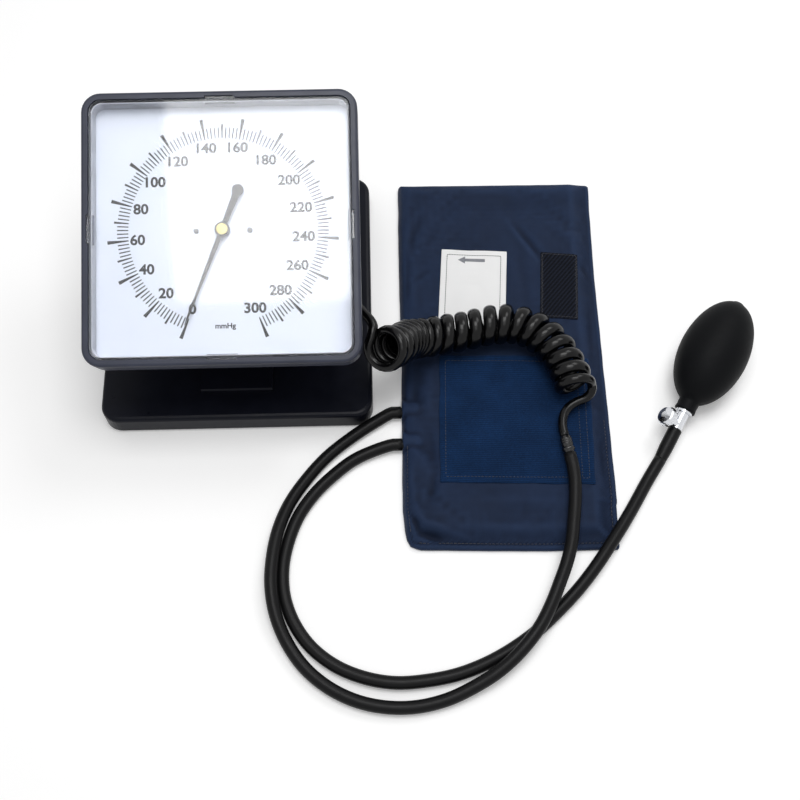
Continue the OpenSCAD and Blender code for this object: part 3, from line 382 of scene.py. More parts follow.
def new_mesh(name, verts, faces, look, body=None, smooth=True):
    """A mesh in metres with its look. It rides on a body if one is given."""
    data = bpy.data.meshes.new(name)
    data.from_pydata([tuple(v) for v in verts], [], faces)
    data.validate()
    obj = add_object(name, data)
    data.materials.append(M[look])
    data.polygons.foreach_set("use_smooth", [smooth] * len(data.polygons))
    data.update()
    if body:
        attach(obj, body)
    return obj


def ring_faces(rings, sides, start=0):
    """The quads between rings of vertices, and last a cap at each end."""
    def at(ring, k):
        return start + ring * sides + k % sides
    quads = [(at(r, k), at(r, k + 1), at(r + 1, k + 1), at(r + 1, k))
             for r in range(rings - 1) for k in range(sides)]
    return quads + [tuple(at(0, k) for k in range(sides - 1, -1, -1)),
                    tuple(at(rings - 1, k) for k in range(sides))]


def shell_grid(nx, ny, point):
    """A closed thin shell: an upper (1) and a lower (0) grid with one rim. point(side, i, j) is in mm."""
    verts, faces, index = [], [], {}
    for side in (1, 0):
        for j in range(ny):
            for i in range(nx):
                if not side and (i in (0, nx - 1) or j in (0, ny - 1)):
                    index[0, i, j] = index[1, i, j]
                    continue
                index[side, i, j] = len(verts)
                verts.append([c * MM for c in point(side, i, j)])
    for j in range(ny - 1):
        for i in range(nx - 1):
            for side in (1, 0):
                quad = [index[side, i + di, j + dj] for di, dj in ((0, 0), (1, 0), (1, 1), (0, 1))]
                faces.append(tuple(quad if side else quad[::-1]))
    return verts, faces, index


def between(t, t0, a, t1, b):
    """Where a straight course from a at t0 to b at t1 is at t."""
    return (t1 - t) / (t1 - t0) * a + (t - t0) / (t1 - t0) * b


def spline(points, step):
    """Points along a centripetal Catmull-Rom curve, about step apart."""
    p = [np.array(q, float) for q in points]
    p = [2 * p[0] - p[1]] + p + [2 * p[-1] - p[-2]]
    out = []
    for a, b, c, d in zip(p, p[1:], p[2:], p[3:]):
        gaps = [max(1e-9, norm(end - start)) ** 0.5 for start, end in ((a, b), (b, c), (c, d))]
        t0, t1, t2, t3 = np.cumsum([0.0] + gaps)
        for t in np.linspace(t1, t2, max(1, round(norm(c - b) / step)), endpoint=False):
            ab, bc, cd = between(t, t0, a, t1, b), between(t, t1, b, t2, c), between(t, t2, c, t3, d)
            out.append(between(t, t1, between(t, t0, ab, t2, bc), t2, between(t, t1, bc, t3, cd)))
    out.append(p[-2])
    return np.array(out)


def frames(path, first=(0, 0, 1)):
    """Tangent, normal and binormal at each point, carried along without twist."""
    tangent = np.gradient(path, axis=0)
    tangent /= norm(tangent, axis=1)[:, None]
    normal = np.array(first, float)
    normals = []
    for t in tangent:
        normal = normal - (normal @ t) * t
        normal /= norm(normal)
        normals.append(normal)
    normals = np.array(normals)
    return tangent, normals, np.cross(tangent, normals)


def revolve(name, profile, origin, axis, look, sides):
    """A surface of revolution on the stand: profile is (distance along the axis, radius) pairs in mm."""
    axis = Vector(axis).normalized()
    side = axis.orthogonal().normalized()
    other = axis.cross(side)
    verts, faces, starts = [], [], []
    for d, r in profile:
        centre = Vector(origin) + axis * (d * MM)
        starts.append((len(verts), r > 0))
        if r > 0:
            verts += [centre + r * MM * (cos(a) * side + sin(a) * other)
                      for a in (2 * pi * k / sides for k in range(sides))]
        else:
            verts.append(centre)
    for (s0, ring0), (s1, ring1) in zip(starts, starts[1:]):
        for k in range(sides):
            j = (k + 1) % sides
            if ring0 and ring1:
                faces.append((s0 + k, s0 + j, s1 + j, s1 + k))
            elif ring0:
                faces.append((s0 + k, s0 + j, s1))
            elif ring1:
                faces.append((s0, s1 + j, s1 + k))
    return new_mesh(name, verts, faces, look, "stand")


def distances(path):
    """How far along a path each of its points lies."""
    return np.concatenate([[0], np.cumsum(norm(np.diff(path, axis=0), axis=1))])


# Cords: routes in mm, as in the CAD source

LEAD = [(66, -31.2, 68.3), (76, -33, 69), (85, -40, 70.5), (91.5, -48.8, 71.6), (95, -53.5, 72.2),
        (97, -58.5, 72.2), (96.4, -62.5, 71.6), (95.4, -65.8, 70.2)]
COIL = [(103.5, -76, 72), (112, -68, 61.5), (117, -59.5, 50), (119.5, -55, 44), (123.5, -51, 38),
        (131, -47, 32), (144.5, -43, 28), (162, -39.5, 27), (180, -35.5, 27), (196, -35, 27),
        (210.5, -40.5, 27), (221.5, -50.5, 27), (229.5, -64, 27), (234.5, -78, 27), (237, -86.5, 27)]
TAIL = [(248.6, -85.6, 24.2), (247.3, -88.6, 21.6), (243.6, -91, 19.4), (237.8, -92.9, 18),
        (232.6, -96, 17.1), (228.7, -101, 16.7), (226.9, -108, 16.7), (227, -114, 16.8), (228, -119, 16.8)]
HOSE_A = [(230, -131, 16.8), (231.5, -140.5, 16.8), (232, -153, 16.7), (231, -165, 16), (229, -179, 15.7),
          (226, -195.5, 15.5), (222, -208, 15.2), (216, -222, 14.8), (209.5, -236, 14.3),
          (201, -250.5, 13.9), (188.5, -265, 12.2), (173.5, -277.5, 9.4), (156.5, -287, 6.6),
          (139.5, -294, 4.9), (120.5, -298, 4.5), (102, -298, 4.5), (83, -294, 4.5), (65, -285.5, 4.5),
          (49, -272.5, 4.5), (37, -256, 5), (29, -237.5, 7.8), (25.5, -218, 9.8), (26, -199.5, 10),
          (29.5, -179, 8.6), (37, -158.5, 5.6), (49, -140, 4.5), (62.5, -124.5, 4.5),
          (79.5, -110.5, 4.6), (97.5, -98.5, 5), (108.5, -92.5, 5.5)]
HOSE_B = [(108.5, -117, 5.5), (95, -121, 4.8), (81, -127.5, 4.5), (67.5, -138, 4.5), (54.5, -151, 4.5),
          (43.5, -167, 4.5), (36.5, -185, 4.5), (33, -203.5, 4.5), (34, -223, 4.5), (40.5, -241.5, 4.5),
          (52, -258, 4.5), (68.5, -271, 4.5), (87.5, -279, 4.5), (107, -282.5, 4.5), (127.5, -281.5, 4.5),
          (147, -278, 4.5), (165.5, -271.5, 4.5), (183, -262.5, 4.5), (200, -251, 4.5),
          (214.5, -238.5, 4.9), (229, -224.5, 6.3), (242, -209.5, 8.1), (252.5, -195.5, 8.7),
          (263.5, -180, 7.8), (273, -165.5, 6), (283, -149.5, 5.5), (294.1, -133.1, 8.15)]
# The curly cord's radius where it is round, its mean diameter, the hoses' radius,
# and how much thicker the hoses are drawn
CORD_R, CORD_D, HOSE_R, HOSE_SKIN = 3.25, 7.2, 4.3, 0.1
# The radius about the coil's axis on which the curly cord's centreline turns, in mm
COIL_CENTRE_R = 11.1
COIL_TURN_POINTS = 24
COIL_FIRST_SIDE = (-0.775, 0.405, -0.486)
# Where each turn ends along the coil's axis, in mm: open, then close where it drops, then open.
# The last is where the coil ends, before its last turn is full
TURN_ENDS = (0, 10, 19, 27.5, 35.5, 43.5, 51.5, 60, 69.6, 80, 90.2, 100.4, 111, 121.7, 132.2, 142.7,
             153.6, 164.3, 175, 185, 193.5)
COIL_TURNS = 19.86
# Where the turns have room the cord widens to this half width, or to this share of the pitch
FLAT_HALF_WIDTH, CORD_GAP_SHARE = 4.65, 0.485


def smoothed(values, weights):
    """A running average with the given weights."""
    return np.convolve(np.pad(values, len(weights) // 2, mode="edge"), weights / weights.sum(), "valid")


def helix():
    """The left-handed coil in mm: its tube's centreline, its outward directions and its half widths."""
    axis = spline(COIL, 0.5)
    s = distances(axis)
    steps = np.arange(len(s))
    t, n, b = frames(axis, COIL_FIRST_SIDE)
    ends = np.array(TURN_ENDS) * s[-1] / TURN_ENDS[-1]
    turns = np.interp(s, ends, [*range(len(ends) - 1), COIL_TURNS])
    bend = np.gradient(t, axis=0) / np.gradient(s)[:, None]
    bend = np.array([smoothed(c, np.hanning(41)) for c in bend.T]).T
    at = np.arange(0, turns[-1] + 1e-9, 1 / COIL_TURN_POINTS)
    at = np.append(at[at < turns[-1] - 0.01], turns[-1])
    pick = np.interp(at, turns, steps)

    def sample(values):
        return np.array([np.interp(pick, steps, c) for c in values.T]).T

    centre, nn, bb, curve = sample(axis), sample(n), sample(b), sample(bend)
    a = -2 * np.pi * at
    out = np.cos(a)[:, None] * nn + np.sin(a)[:, None] * bb
    out /= norm(out, axis=1)[:, None]
    radius = COIL_CENTRE_R + 0.15 * np.sin(at * 1.7) + np.interp(at, [0, 0.4, 1.6], [1.4, 1.4, 0])
    pitch = np.interp(pick, steps, np.gradient(s, turns))
    room = smoothed(pitch, np.ones(25)) * (1 - COIL_CENTRE_R * (out * curve).sum(1))
    half = np.clip(CORD_GAP_SHARE * room, CORD_R - 0.3, FLAT_HALF_WIDTH)
    return centre + radius[:, None] * out, out, half


def cord_tube(name, path, outward, across, sides=16):
    """A cord with an oval section: outward points away from the coil's axis, across lies along it."""
    tangent = np.gradient(path, axis=0)
    tangent /= norm(tangent, axis=1)[:, None]
    verts = []
    for p, t, u, wide in zip(path, tangent, outward, across):
        u = u - (u @ t) * t
        u /= norm(u)
        v = np.cross(t, u)
        verts += [p + CORD_R * MM * cos(a) * u + wide * sin(a) * v
                  for a in (2 * pi * k / sides for k in range(sides))]
    return new_mesh(name, verts, ring_faces(len(path), sides), "coil_pvc")


def nearest(path, point):
    return np.argmin(norm(path - point, axis=1))


turns_path, turns_out, turns_half = helix()
lead_path = spline(LEAD + [tuple(turns_path[0]), tuple(turns_path[2])], 2.2)
lead_path = lead_path[:nearest(lead_path, turns_path[0])]
tail_path = spline([tuple(turns_path[-3]), tuple(turns_path[-1])] + TAIL, 2.2)
tail_path = tail_path[nearest(tail_path, turns_path[-1]) + 1:]
curly = np.vstack([lead_path, turns_path, tail_path]) * MM
lead_out = frames(lead_path[::-1], turns_out[0])[1][::-1]
tail_out = frames(tail_path, turns_out[-1])[1]
ease = np.linspace(0, 1, 20)
turns_half[:20] = CORD_R + (turns_half[:20] - CORD_R) * ease
turns_half[-20:] = CORD_R + (turns_half[-20:] - CORD_R) * ease[::-1]
curly_half = np.concatenate([np.full(len(lead_path), CORD_R), turns_half, np.full(len(tail_path), CORD_R)])
curly_cord = cord_tube("curly_cord", curly, np.vstack([lead_out, turns_out, tail_out]), curly_half * MM)
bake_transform(curly_cord)
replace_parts(curly_cord, "coil_lead", "coil_cord", "coil_tail")

NOZZLE_COVER = 6.5


def over_nozzle(x, y, z):
    return [(x + NOZZLE_COVER * 0.5, y, z), (x + NOZZLE_COVER, y, z)]


def hose(name, path):
    """A hose on the stand along a path in metres, with rounded shoulders at both ends."""
    radius, sides = (HOSE_R + HOSE_SKIN) * MM, 24
    shoulder, lip = radius * 0.86, 0.25 * MM
    tangent, n, b = frames(path)
    last = len(path) - 1
    rings = [(p, i, radius) for i, p in enumerate(path)]
    rings[0] = (path[0] + tangent[0] * lip, 0, radius)
    rings[-1] = (path[-1] - tangent[-1] * lip, last, radius)
    rings = [(path[0], 0, shoulder), *rings, (path[-1], last, shoulder)]
    angles = 2 * np.pi * np.arange(sides) / sides
    verts = [c + r * (cos(a) * n[i] + sin(a) * b[i]) for c, i, r in rings for a in angles]
    return new_mesh(name, verts, ring_faces(len(rings), sides), "tube_rubber", "stand")


hose_a_path = spline(HOSE_A + over_nozzle(*HOSE_A[-1]), 3.5) * MM
hose_b_path = spline(over_nozzle(*HOSE_B[0])[::-1] + HOSE_B, 3.5) * MM
hose_a = hose("hose_a_tube", hose_a_path)
hose_b = hose("hose_b_tube", hose_b_path)
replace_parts(hose_a, "hose_a")
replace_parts(hose_b, "hose_b")


def connector():
    """The push-in coupling: a body with three grip ribs, a collar and a short nose."""
    start, end = Vector(TAIL[-1]) * MM, Vector(HOSE_A[0]) * MM
    length = (end - start).length / MM
    profile = [(-1, 0), (-1, 3.3), (0, 3.5), (0.5, 3.9)]
    for k in range(3):
        x = 1.3 + 1.7 * k
        profile += [(x, 3.9), (x + 0.3, 4.2), (x + 0.8, 4.2), (x + 1.1, 3.9)]
    profile += [(6.9, 3.9), (7.2, 3.4), (7.8, 3.4), (8.1, 4.1), (8.4, 4.45), (9.8, 4.45), (10.2, 4.1),
                (10.9, 3.4), (length + 1.2, 3.4), (length + 1.2, 0)]
    return revolve("connector_body", profile, start, end - start, "connector_plastic", 40)


coupling = connector()
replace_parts(coupling, "tube_connector")
round(float(distances(curly)[-1]), 2)
for piece, path in ((hose_a, hose_a_path), (hose_b, hose_b_path)):
    tuple(path[0])
    round(float(distances(path)[-1]), 2)
    [tuple(p) for p in path]


# Cuff

# The folded cuff in mm: its low corner, its width and length, and how thick its middle and its hems are
CUFF_X, CUFF_Y, CUFF_W, CUFF_L = 114.5, -195.5, 148, 296
CUFF_T, HEM_T = 11, 4
# How far the middle lies below the fullest wrinkles
SAG = 1.3
TUNNEL_TOP = 10.6
# How round the sharper corners are, and how wide the rim is that wanders
CORNER_R, RIM_W = 2.6, 14
# The outline, in mm: where the left and right edges lie at each y, and the low and high edges at each x
LEFT_EDGE = [(-196, 117), (-189, 116.4), (-183, 115.4), (-168, 114.2), (-150, 114.4), (-120, 115),
             (-95, 115.2), (-50, 116.2), (0, 116), (60, 116.4), (101, 117.2)]
RIGHT_EDGE = [(-196, 260.8), (-163.5, 261.4), (-161.5, 262.2), (-100, 262.4), (20, 262.8), (60, 263.9),
              (101, 265.4)]
LOW_EDGE = [(114, -192), (120, -193), (152, -194.2), (179, -195), (206, -195.8), (263, -196)]
HIGH_EDGE = [(114, 101.2), (150, 100.7), (196, 100.2), (263, 99.7)]
# Creases in mm: from, to, half width and depth. A negative depth is a ridge
CREASES = [
    ((203, 60), (224, 28), 3.2, 1.1), ((198, 63), (219, 30), 3.0, -0.5),
    ((131, 66), (122, 40), 4.0, 0.8),
    ((150, 76), (258, 82), 7.0, 0.6), ((125, 90), (255, 90), 4.5, -0.3),
    ((118, -140), (121, -165), 3.5, -0.7), ((121, -165), (128, -178), 3.5, -0.9),
    ((128, -178), (146, -185), 3.5, -0.9), ((146, -185), (160, -189), 3.0, -0.6),
    ((119, -172), (124, -184), 3.0, 2.2), ((124, -184), (140, -190), 3.0, 2.2),
    ((133, -110), (137, -140), 4.5, 1.2), ((137, -140), (133, -165), 4.0, 1.0),
    ((124, -116), (133, -128), 4.0, 0.9), ((126, -60), (124, -92), 4.5, 0.9),
    ((136, -60), (133, -95), 4.0, -0.4), ((170, -174), (220, -170), 9.0, 1.0),
    ((160, -160), (230, -163), 4.0, -0.3), ((255, -120), (257, -150), 3.0, 0.8),
    ((120, 0), (121, 35), 2.6, 0.8), ((124, 10), (138, 22), 3.0, 0.5),
    ((252, 28), (260, 10), 2.8, 0.7), ((256, -10), (253, -60), 3.0, 0.6),
    ((206, 40), (210, -20), 4.5, 0.5), ((133, 40), (143, 52), 3.5, 0.5),
]
CREASE_SCALE = 1.8
# How far the seams run inside the hemmed edges and inside the folded one
SEAM_IN, FOLD_SEAM_IN = 4.2, 3.6
BLADDER_X, BLADDER_Y, BLADDER_W, BLADDER_L = 122.5, -152.5, 120, 200
NOZZLES = (HOSE_A[-1], HOSE_B[0])
NOZZLE_Y = [y for x, y, z in NOZZLES]
NOZZLE_PROFILE = [(0, 0), (0, 3.3), (0.3, 3.6), (15, 3.6), (17, 3), (17, 0)]
# The simulated cover: its cells and frames, half the cells that its dome is blurred over, and how high
# its wrinkles are, in mm
PUFF_CELLS, PUFF_FRAMES, PUFF_BLUR, PUFF_CAP = (30, 60), 20, 5, 0.9


def smooth(t):
    t = min(1.0, max(0.0, t))
    return t * t * (3 - 2 * t)


def rounded(d, r):
    """0 at an edge and 1 from r inwards, along a quarter circle."""
    return sqrt(max(0, 1 - (1 - min(1, max(0, d) / r)) ** 2))


def groove(d, half):
    """1 in the middle of a groove or ridge, fading out on both sides."""
    return exp(-(d / half) ** 2)


def corner_cut(dx, dy, r):
    """How far a point near two edges moves in from each of them, so that the corner is round."""
    if dx >= r or dy >= r:
        return 0, 0
    vx, vy = r - dx, r - dy
    k = 1 - max(vx, vy) / max(1e-9, hypot(vx, vy))
    return vx * k, vy * k


def wave(x, y, scale, seed):
    return noise.noise(Vector((x / scale, y / scale, seed)))


def edge_distance(x, y):
    return x - CUFF_X, CUFF_X + CUFF_W - x, y - CUFF_Y, CUFF_Y + CUFF_L - y


def along(table, at):
    return float(np.interp(at, *zip(*table)))


def cuff_outline(x, y):
    """Moves a point of the plain rectangle to where the worn cuff's outline puts it."""
    u, v = (x - CUFF_X) / CUFF_W, (y - CUFF_Y) / CUFF_L
    near_x = along(LEFT_EDGE, y) * (1 - u) + along(RIGHT_EDGE, y) * u
    near_y = along(LOW_EDGE, x) * (1 - v) + along(HIGH_EDGE, x) * v
    left, right, low, high = edge_distance(x, y)
    if left < 12 and low < 12:  # the worn corner
        cut = max(0, 1 - (left / 9 + low / 6)) * 0.3
        near_x += cut * 6
        near_y += cut * 5
    for dx, dy, sx, sy in ((left, high, 1, -1), (right, high, -1, -1), (right, low, -1, 1)):
        cut_x, cut_y = corner_cut(dx, dy, CORNER_R)
        near_x += sx * cut_x
        near_y += sy * cut_y
    rim = max(0, 1 - min(left, right, low, high) / RIM_W)
    near_x += 0.35 * wave(0, y, 17, 5.0) * rim * (1 if left > right else -1)
    near_y += 0.3 * wave(x, 0, 15, 9.0) * rim
    return near_x, near_y


def blurred(grid, half):
    """The grid averaged over 2 half + 1 cells each way."""
    size = 2 * half + 1
    for axis in (0, 1):
        pad = [(half, half) if a == axis else (0, 0) for a in (0, 1)]
        wide = np.pad(grid, pad, mode="edge")
        grid = sum(np.take(wide, range(k, k + grid.shape[axis]), axis=axis) for k in range(size)) / size
    return grid


def puffed_cover():
    """Cloth simulation: the cover, cut too large, is blown up from below and wrinkles.

    The filling holds the real cover down, so its dome is taken off and its wrinkles are scaled to PUFF_CAP.
    """
    nu, nv = PUFF_CELLS

    def point(side, i, j):
        x, y = CUFF_X + CUFF_W * i / nu, CUFF_Y + CUFF_L * j / nv
        return x, y, plain_top(x, y) - 0.8 if side else 0.4

    verts, faces, index = shell_grid(nu + 1, nv + 1, point)
    pinned = {k for (side, i, j), k in index.items() if not side or i in (0, nu) or j in (0, nv)}
    proxy = new_mesh("cuff_proxy", verts, faces, "cuff_cloth")
    proxy.vertex_groups.new(name="pin").add(sorted(pinned), 1.0, "REPLACE")
    settings = proxy.modifiers.new("cloth", "CLOTH").settings
    for key, value in dict(quality=8, mass=0.2, tension_stiffness=12, compression_stiffness=12,
                           shear_stiffness=4, bending_stiffness=0.25, shrink_min=-0.035,
                           use_pressure=True, uniform_pressure_force=1.2,
                           vertex_group_mass="pin").items():
        setattr(settings, key, value)
    settings.effector_weights.gravity = 0
    for f in range(1, PUFF_FRAMES + 1):
        bpy.context.scene.frame_set(f)
    mesh = proxy.evaluated_get(bpy.context.evaluated_depsgraph_get()).data
    rise = np.array([[(mesh.vertices[index[1, i, j]].co.z - verts[index[1, i, j]][2]) / MM
                      for i in range(nu + 1)] for j in range(nv + 1)])
    bpy.context.scene.frame_set(1)
    bpy.data.objects.remove(proxy)
    wrinkles = rise - blurred(rise, PUFF_BLUR)
    most = float(np.percentile(abs(wrinkles[3:-3, 3:-3]), 95))
    print(f"cuff simulation: rise {rise.min():.2f} to {rise.max():.2f}, wrinkles mostly within {most:.3f} mm")
    return PUFF_CAP * np.tanh(wrinkles / most)


def plain_top(x, y):
    """Height of the cuff's upper face before it wrinkles, in mm: two folded and two hemmed edges."""
    left, right, low, high = edge_distance(x, y)
    hem, fold = min(right, low), min(left, high)
    rise = smooth((hem - 3) / 14)
    body = HEM_T + (CUFF_T - SAG - HEM_T) * rise * smooth((fold + 7) / 16)
    z = 1.0 + (body - 1.0) * rounded(fold, 4.5) * rounded(hem, 1.6)
    for y_nozzle in NOZZLE_Y:
        z = max(z, tunnel_top(left, y - y_nozzle))
    return z


def tunnel_top(left, across):
    """The fold bulges over each hose where it goes in, and flattens within a few centimetres."""
    if abs(across) > 20 or left > 32:
        return 0.0
    mouth = sqrt(min(1, max(0, left + 0.6) / 1.4))
    return TUNNEL_TOP * mouth * exp(-abs(across / 9) ** 2.5) * (1 - smooth((left - 9) / 22))


PUFF = puffed_cover()


def puff(x, y):
    nu, nv = PUFF_CELLS
    u = min(nu - 1e-6, max(0, (x - CUFF_X) / CUFF_W * nu))
    v = min(nv - 1e-6, max(0, (y - CUFF_Y) / CUFF_L * nv))
    i, j = int(u), int(v)
    fu, fv = smooth(u - i), smooth(v - j)
    return float(PUFF[j, i] * (1 - fu) * (1 - fv) + PUFF[j, i + 1] * fu * (1 - fv)
                 + PUFF[j + 1, i] * (1 - fu) * fv + PUFF[j + 1, i + 1] * fu * fv)


def crease_depth(x, y):
    depth = 0.0
    for (ax, ay), (bx, by), half, deep in CREASES:
        dx, dy = bx - ax, by - ay
        t = min(1, max(0, ((x - ax) * dx + (y - ay) * dy) / (dx * dx + dy * dy)))
        off = hypot(x - ax - dx * t, y - ay - dy * t)
        if off < 3 * half:
            depth += deep * groove(off, half) * (0.3 + 0.7 * sin(pi * t))
    return depth


def cuff_top(x, y):
    """Height of the finished cuff's upper face, in mm."""
    left, right, low, high = edge_distance(x, y)
    near = min(left, right, low, high)
    z = plain_top(x, y)
    free = smooth((near - 1) / 9)
    z += free * (puff(x, y) - CREASE_SCALE * crease_depth(x, y)
                 + 0.8 * wave(x, y, 30, 1.3) + 0.35 * wave(x, y, 13, 7.7) + 0.12 * wave(x, y, 6, 4.4))
    seam = groove(low - SEAM_IN, 0.8)
    if y < -120:
        seam = max(seam, groove(right - SEAM_IN, 0.8), groove(left - FOLD_SEAM_IN, 0.8))
    pucker = 0.6 + 0.4 * sin((x + y) * 2.4)
    z = max(0.8, z - 0.6 * seam * pucker, *(tunnel_top(left, y - q) for q in NOZZLE_Y))
    return min(CUFF_T + 0.15, z)


def spaced(length, edge, step):
    """Positions from 0 to length that crowd together near both ends."""
    inner = np.linspace(edge[-1], length - edge[-1], max(2, round((length - 2 * edge[-1]) / step)))
    return list(edge[:-1]) + list(inner) + [length - e for e in edge[-2::-1]]


def two_faced(name, xs, ys, point, look):
    """A closed thin piece on the stand: point(side, x, y) gives its upper and lower vertices in mm."""
    verts, faces, _ = shell_grid(len(xs), len(ys), lambda side, i, j: point(side, xs[i], ys[j]))
    return new_mesh(name, verts, faces, look, "stand")


def cuff():
    edge = [0, 0.25, 0.7, 1.4, 2.4, 3.2, 4.0, 5.0, 6.2, 8]

    def point(side, x, y):
        px, py = cuff_outline(x, y)
        return px, py, cuff_top(x, y) if side else 1.2 * (1 - rounded(min(edge_distance(x, y)), 1.6)) + 0.05

    return two_faced("cuff_cover", [CUFF_X + d for d in spaced(CUFF_W, edge, 1.6)],
                     [CUFF_Y + d for d in spaced(CUFF_L, edge, 1.6)], point, "cuff_cloth")


def bladder():
    """The rubber bladder inside: where the cover dips, it dips below it."""
    edge, middle = [0, 0.3, 1, 2], NOZZLES[0][2]

    def point(side, u, v):
        x, y = BLADDER_X + u, BLADDER_Y + v
        top = min(8, cuff_top(x, y) - 1.2)
        full = rounded(min(u, BLADDER_W - u, v, BLADDER_L - v), 2)
        return x, y, middle + ((top - middle) * full if side else -2.5 * full)

    return two_faced("bladder_skin", spaced(BLADDER_W, edge, 4), spaced(BLADDER_L, edge, 4), point,
                     "tube_rubber")


cuff_cover = cuff()
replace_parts(cuff_cover, "cuff_sleeve")
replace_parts(bladder(), "bladder")
for k, end in enumerate(NOZZLES):
    revolve(f"bladder_nozzle_{k}", NOZZLE_PROFILE, Vector(end) * MM, (1, 0, 0), "tube_rubber", 32)


class Patch:
    """Where a patch lies on the cuff: its middle, its size and its turn."""

    def __init__(self, centre, size, turn):
        self.centre, self.size = centre, size
        self.c, self.s = cos(radians(turn)), sin(radians(turn))

    def at(self, u, v):
        """From the patch's own coordinates about its middle to the cuff's."""
        return (self.centre[0] + u * self.c - v * self.s, self.centre[1] + u * self.s + v * self.c)

    def frame_line(self, inset):
        a, b = self.size[0] / 2 - inset, self.size[1] / 2 - inset
        return [self.at(*p) for p in ((-a, -b), (a, -b), (a, b), (-a, b), (-a, -b))]


def on_cuff(name, patch, thickness, look, dip, corner, fuzz=0.0, wander=0.0):
    """A sewn-on patch that follows the cuff. dip is how far in its seam runs, and how deep."""
    w, h = patch.size
    edge = [0, 0.15, 0.5, 1.0, 1.8]

    def point(side, u, v):
        d = min(u, w - u, v, h - v)
        x, y = u - w / 2, v - h / 2
        cut_x, cut_y = corner_cut(min(u, w - u), min(v, h - v), corner)
        x -= copysign(cut_x, x)
        y -= copysign(cut_y, y)
        rim = max(0, 1 - d / 12) * wander
        x += rim * wave(0, v, 21, 6.1) * (1 if x > 0 else -1)
        y += rim * wave(u, 0, 18, 2.9)
        x, y = patch.at(x, y)
        base = cuff_top(x, y)
        if not side:
            return x, y, base - 0.05
        z = base + 0.1 + (thickness - 0.1) * rounded(d, thickness + 0.1) - dip[1] * groove(d - dip[0], 0.6)
        if d > 0.6:
            z += fuzz * noise.noise(Vector((x * 1.3, y * 1.3, 2.0)))
        return x, y, z

    return two_faced(name, spaced(w, edge, 1.6), spaced(h, edge, 1.6), point, look)


LOOP = Patch((195.5, -101), (108, 98), -2)
HOOK = Patch((234.5, 6), (28, 56), -4.6)
LABEL = Patch((170.3, 2.8), (49, 70), -4.5)
loop_tape = on_cuff("loop_tape", LOOP, 1.0, "loop_cloth", (4.5, 0.4), 2.0, fuzz=0.14, wander=0.9)
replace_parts(loop_tape, "loop_patch")
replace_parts(on_cuff("hook_tape", HOOK, 0.9, "hook_cloth", (1.6, 0.25), 0.8), "hook_patch")
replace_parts(on_cuff("care_label", LABEL, 0.4, "label_cloth", (5.0, 0.12), 0.6), "cuff_label")


def stitches(name, runs, look, pitch, length, width, height, above):
    """Rows of thread: each stitch is a low six-sided arch that dips into the cloth at both ends."""
    verts, faces, sides = [], [], 6
    spots = (-0.5, -0.3, 0, 0.3, 0.5)
    for run in runs:
        path = np.array(run, float)
        s = distances(path)
        for k in range(int(s[-1] / pitch)):
            mid = (k + 0.5) * pitch
            ends = [np.array([np.interp(mid + q * length / 2, s, path[:, c]) for c in (0, 1)])
                    for q in (-1, 1)]
            d = ends[1] - ends[0]
            d /= norm(d)
            side = np.array([-d[1], d[0]])
            faces += ring_faces(len(spots), sides, len(verts))
            for f in spots:
                p = (ends[0] + ends[1]) / 2 + d * length * f
                z = cuff_top(p[0], p[1]) + above - 0.18 + height * (1 - (2 * f) ** 2)
                w = width / 2 * (1 - 1.4 * f * f)
                for a in range(sides):
                    c, q = cos(a * pi / 3), sin(a * pi / 3)
                    verts.append(((p[0] + side[0] * w * c) * MM, (p[1] + side[1] * w * c) * MM,
                                  (z + w * 0.7 * q) * MM))
    return new_mesh(name, verts, faces, look, "stand")


def edge_run(inset_x, inset_y, points):
    """Seam points given as (x, y) of the plain rectangle, moved with the cuff's own outline."""
    return [cuff_outline(x + inset_x, y + inset_y) for x, y in points]


x0, x1, y0 = CUFF_X, CUFF_X + CUFF_W, CUFF_Y
cuff_seams = [edge_run(FOLD_SEAM_IN, 0, [(x0, y) for y in np.linspace(-122, y0 + 10, 16)]),
              edge_run(0, SEAM_IN, [(x, y0) for x in np.linspace(x0 + 8, x1 - 4, 30)]),
              edge_run(-SEAM_IN, 0, [(x1, y) for y in np.linspace(y0 + SEAM_IN, -100, 20)])]
stitches("cuff_stitching", cuff_seams, "navy_thread", 2.6, 2.0, 0.5, 0.5, above=-0.05)
loop_seams = [LOOP.frame_line(4.5), [LOOP.at(LOOP.size[0] / 2 - 9.5, v) for v in (-44, 44)]]
stitches("loop_stitching", loop_seams, "loop_thread", 2.4, 2.0, 0.5, 0.42, above=0.85)


def zigzag(patch, u, low, high, width, pitch):
    count = int(abs(high - low) / pitch)
    return [patch.at(u + (width / 2 if k % 2 else -width / 2), low + (high - low) * k / count)
            for k in range(count + 1)]


hook_w, hook_l = HOOK.size
hook_seams = [zigzag(HOOK, s * (hook_w / 2 - 1.3), 1 - hook_l / 2, hook_l / 2 - 1, 2.0, 1.2) for s in (-1, 1)]
hook_seams += [[HOOK.at(t * (hook_w / 2 - 1), s * (hook_l / 2 - 1.6)) for t in (-1, 1)] for s in (-1, 1)]
stitches("hook_stitching", hook_seams, "black_thread", 1.95, 1.75, 0.4, 0.45, above=0.8)
stitches("label_stitching", [LABEL.frame_line(4.4)], "label_thread", 1.9, 1.6, 0.62, 0.4, above=0.3)


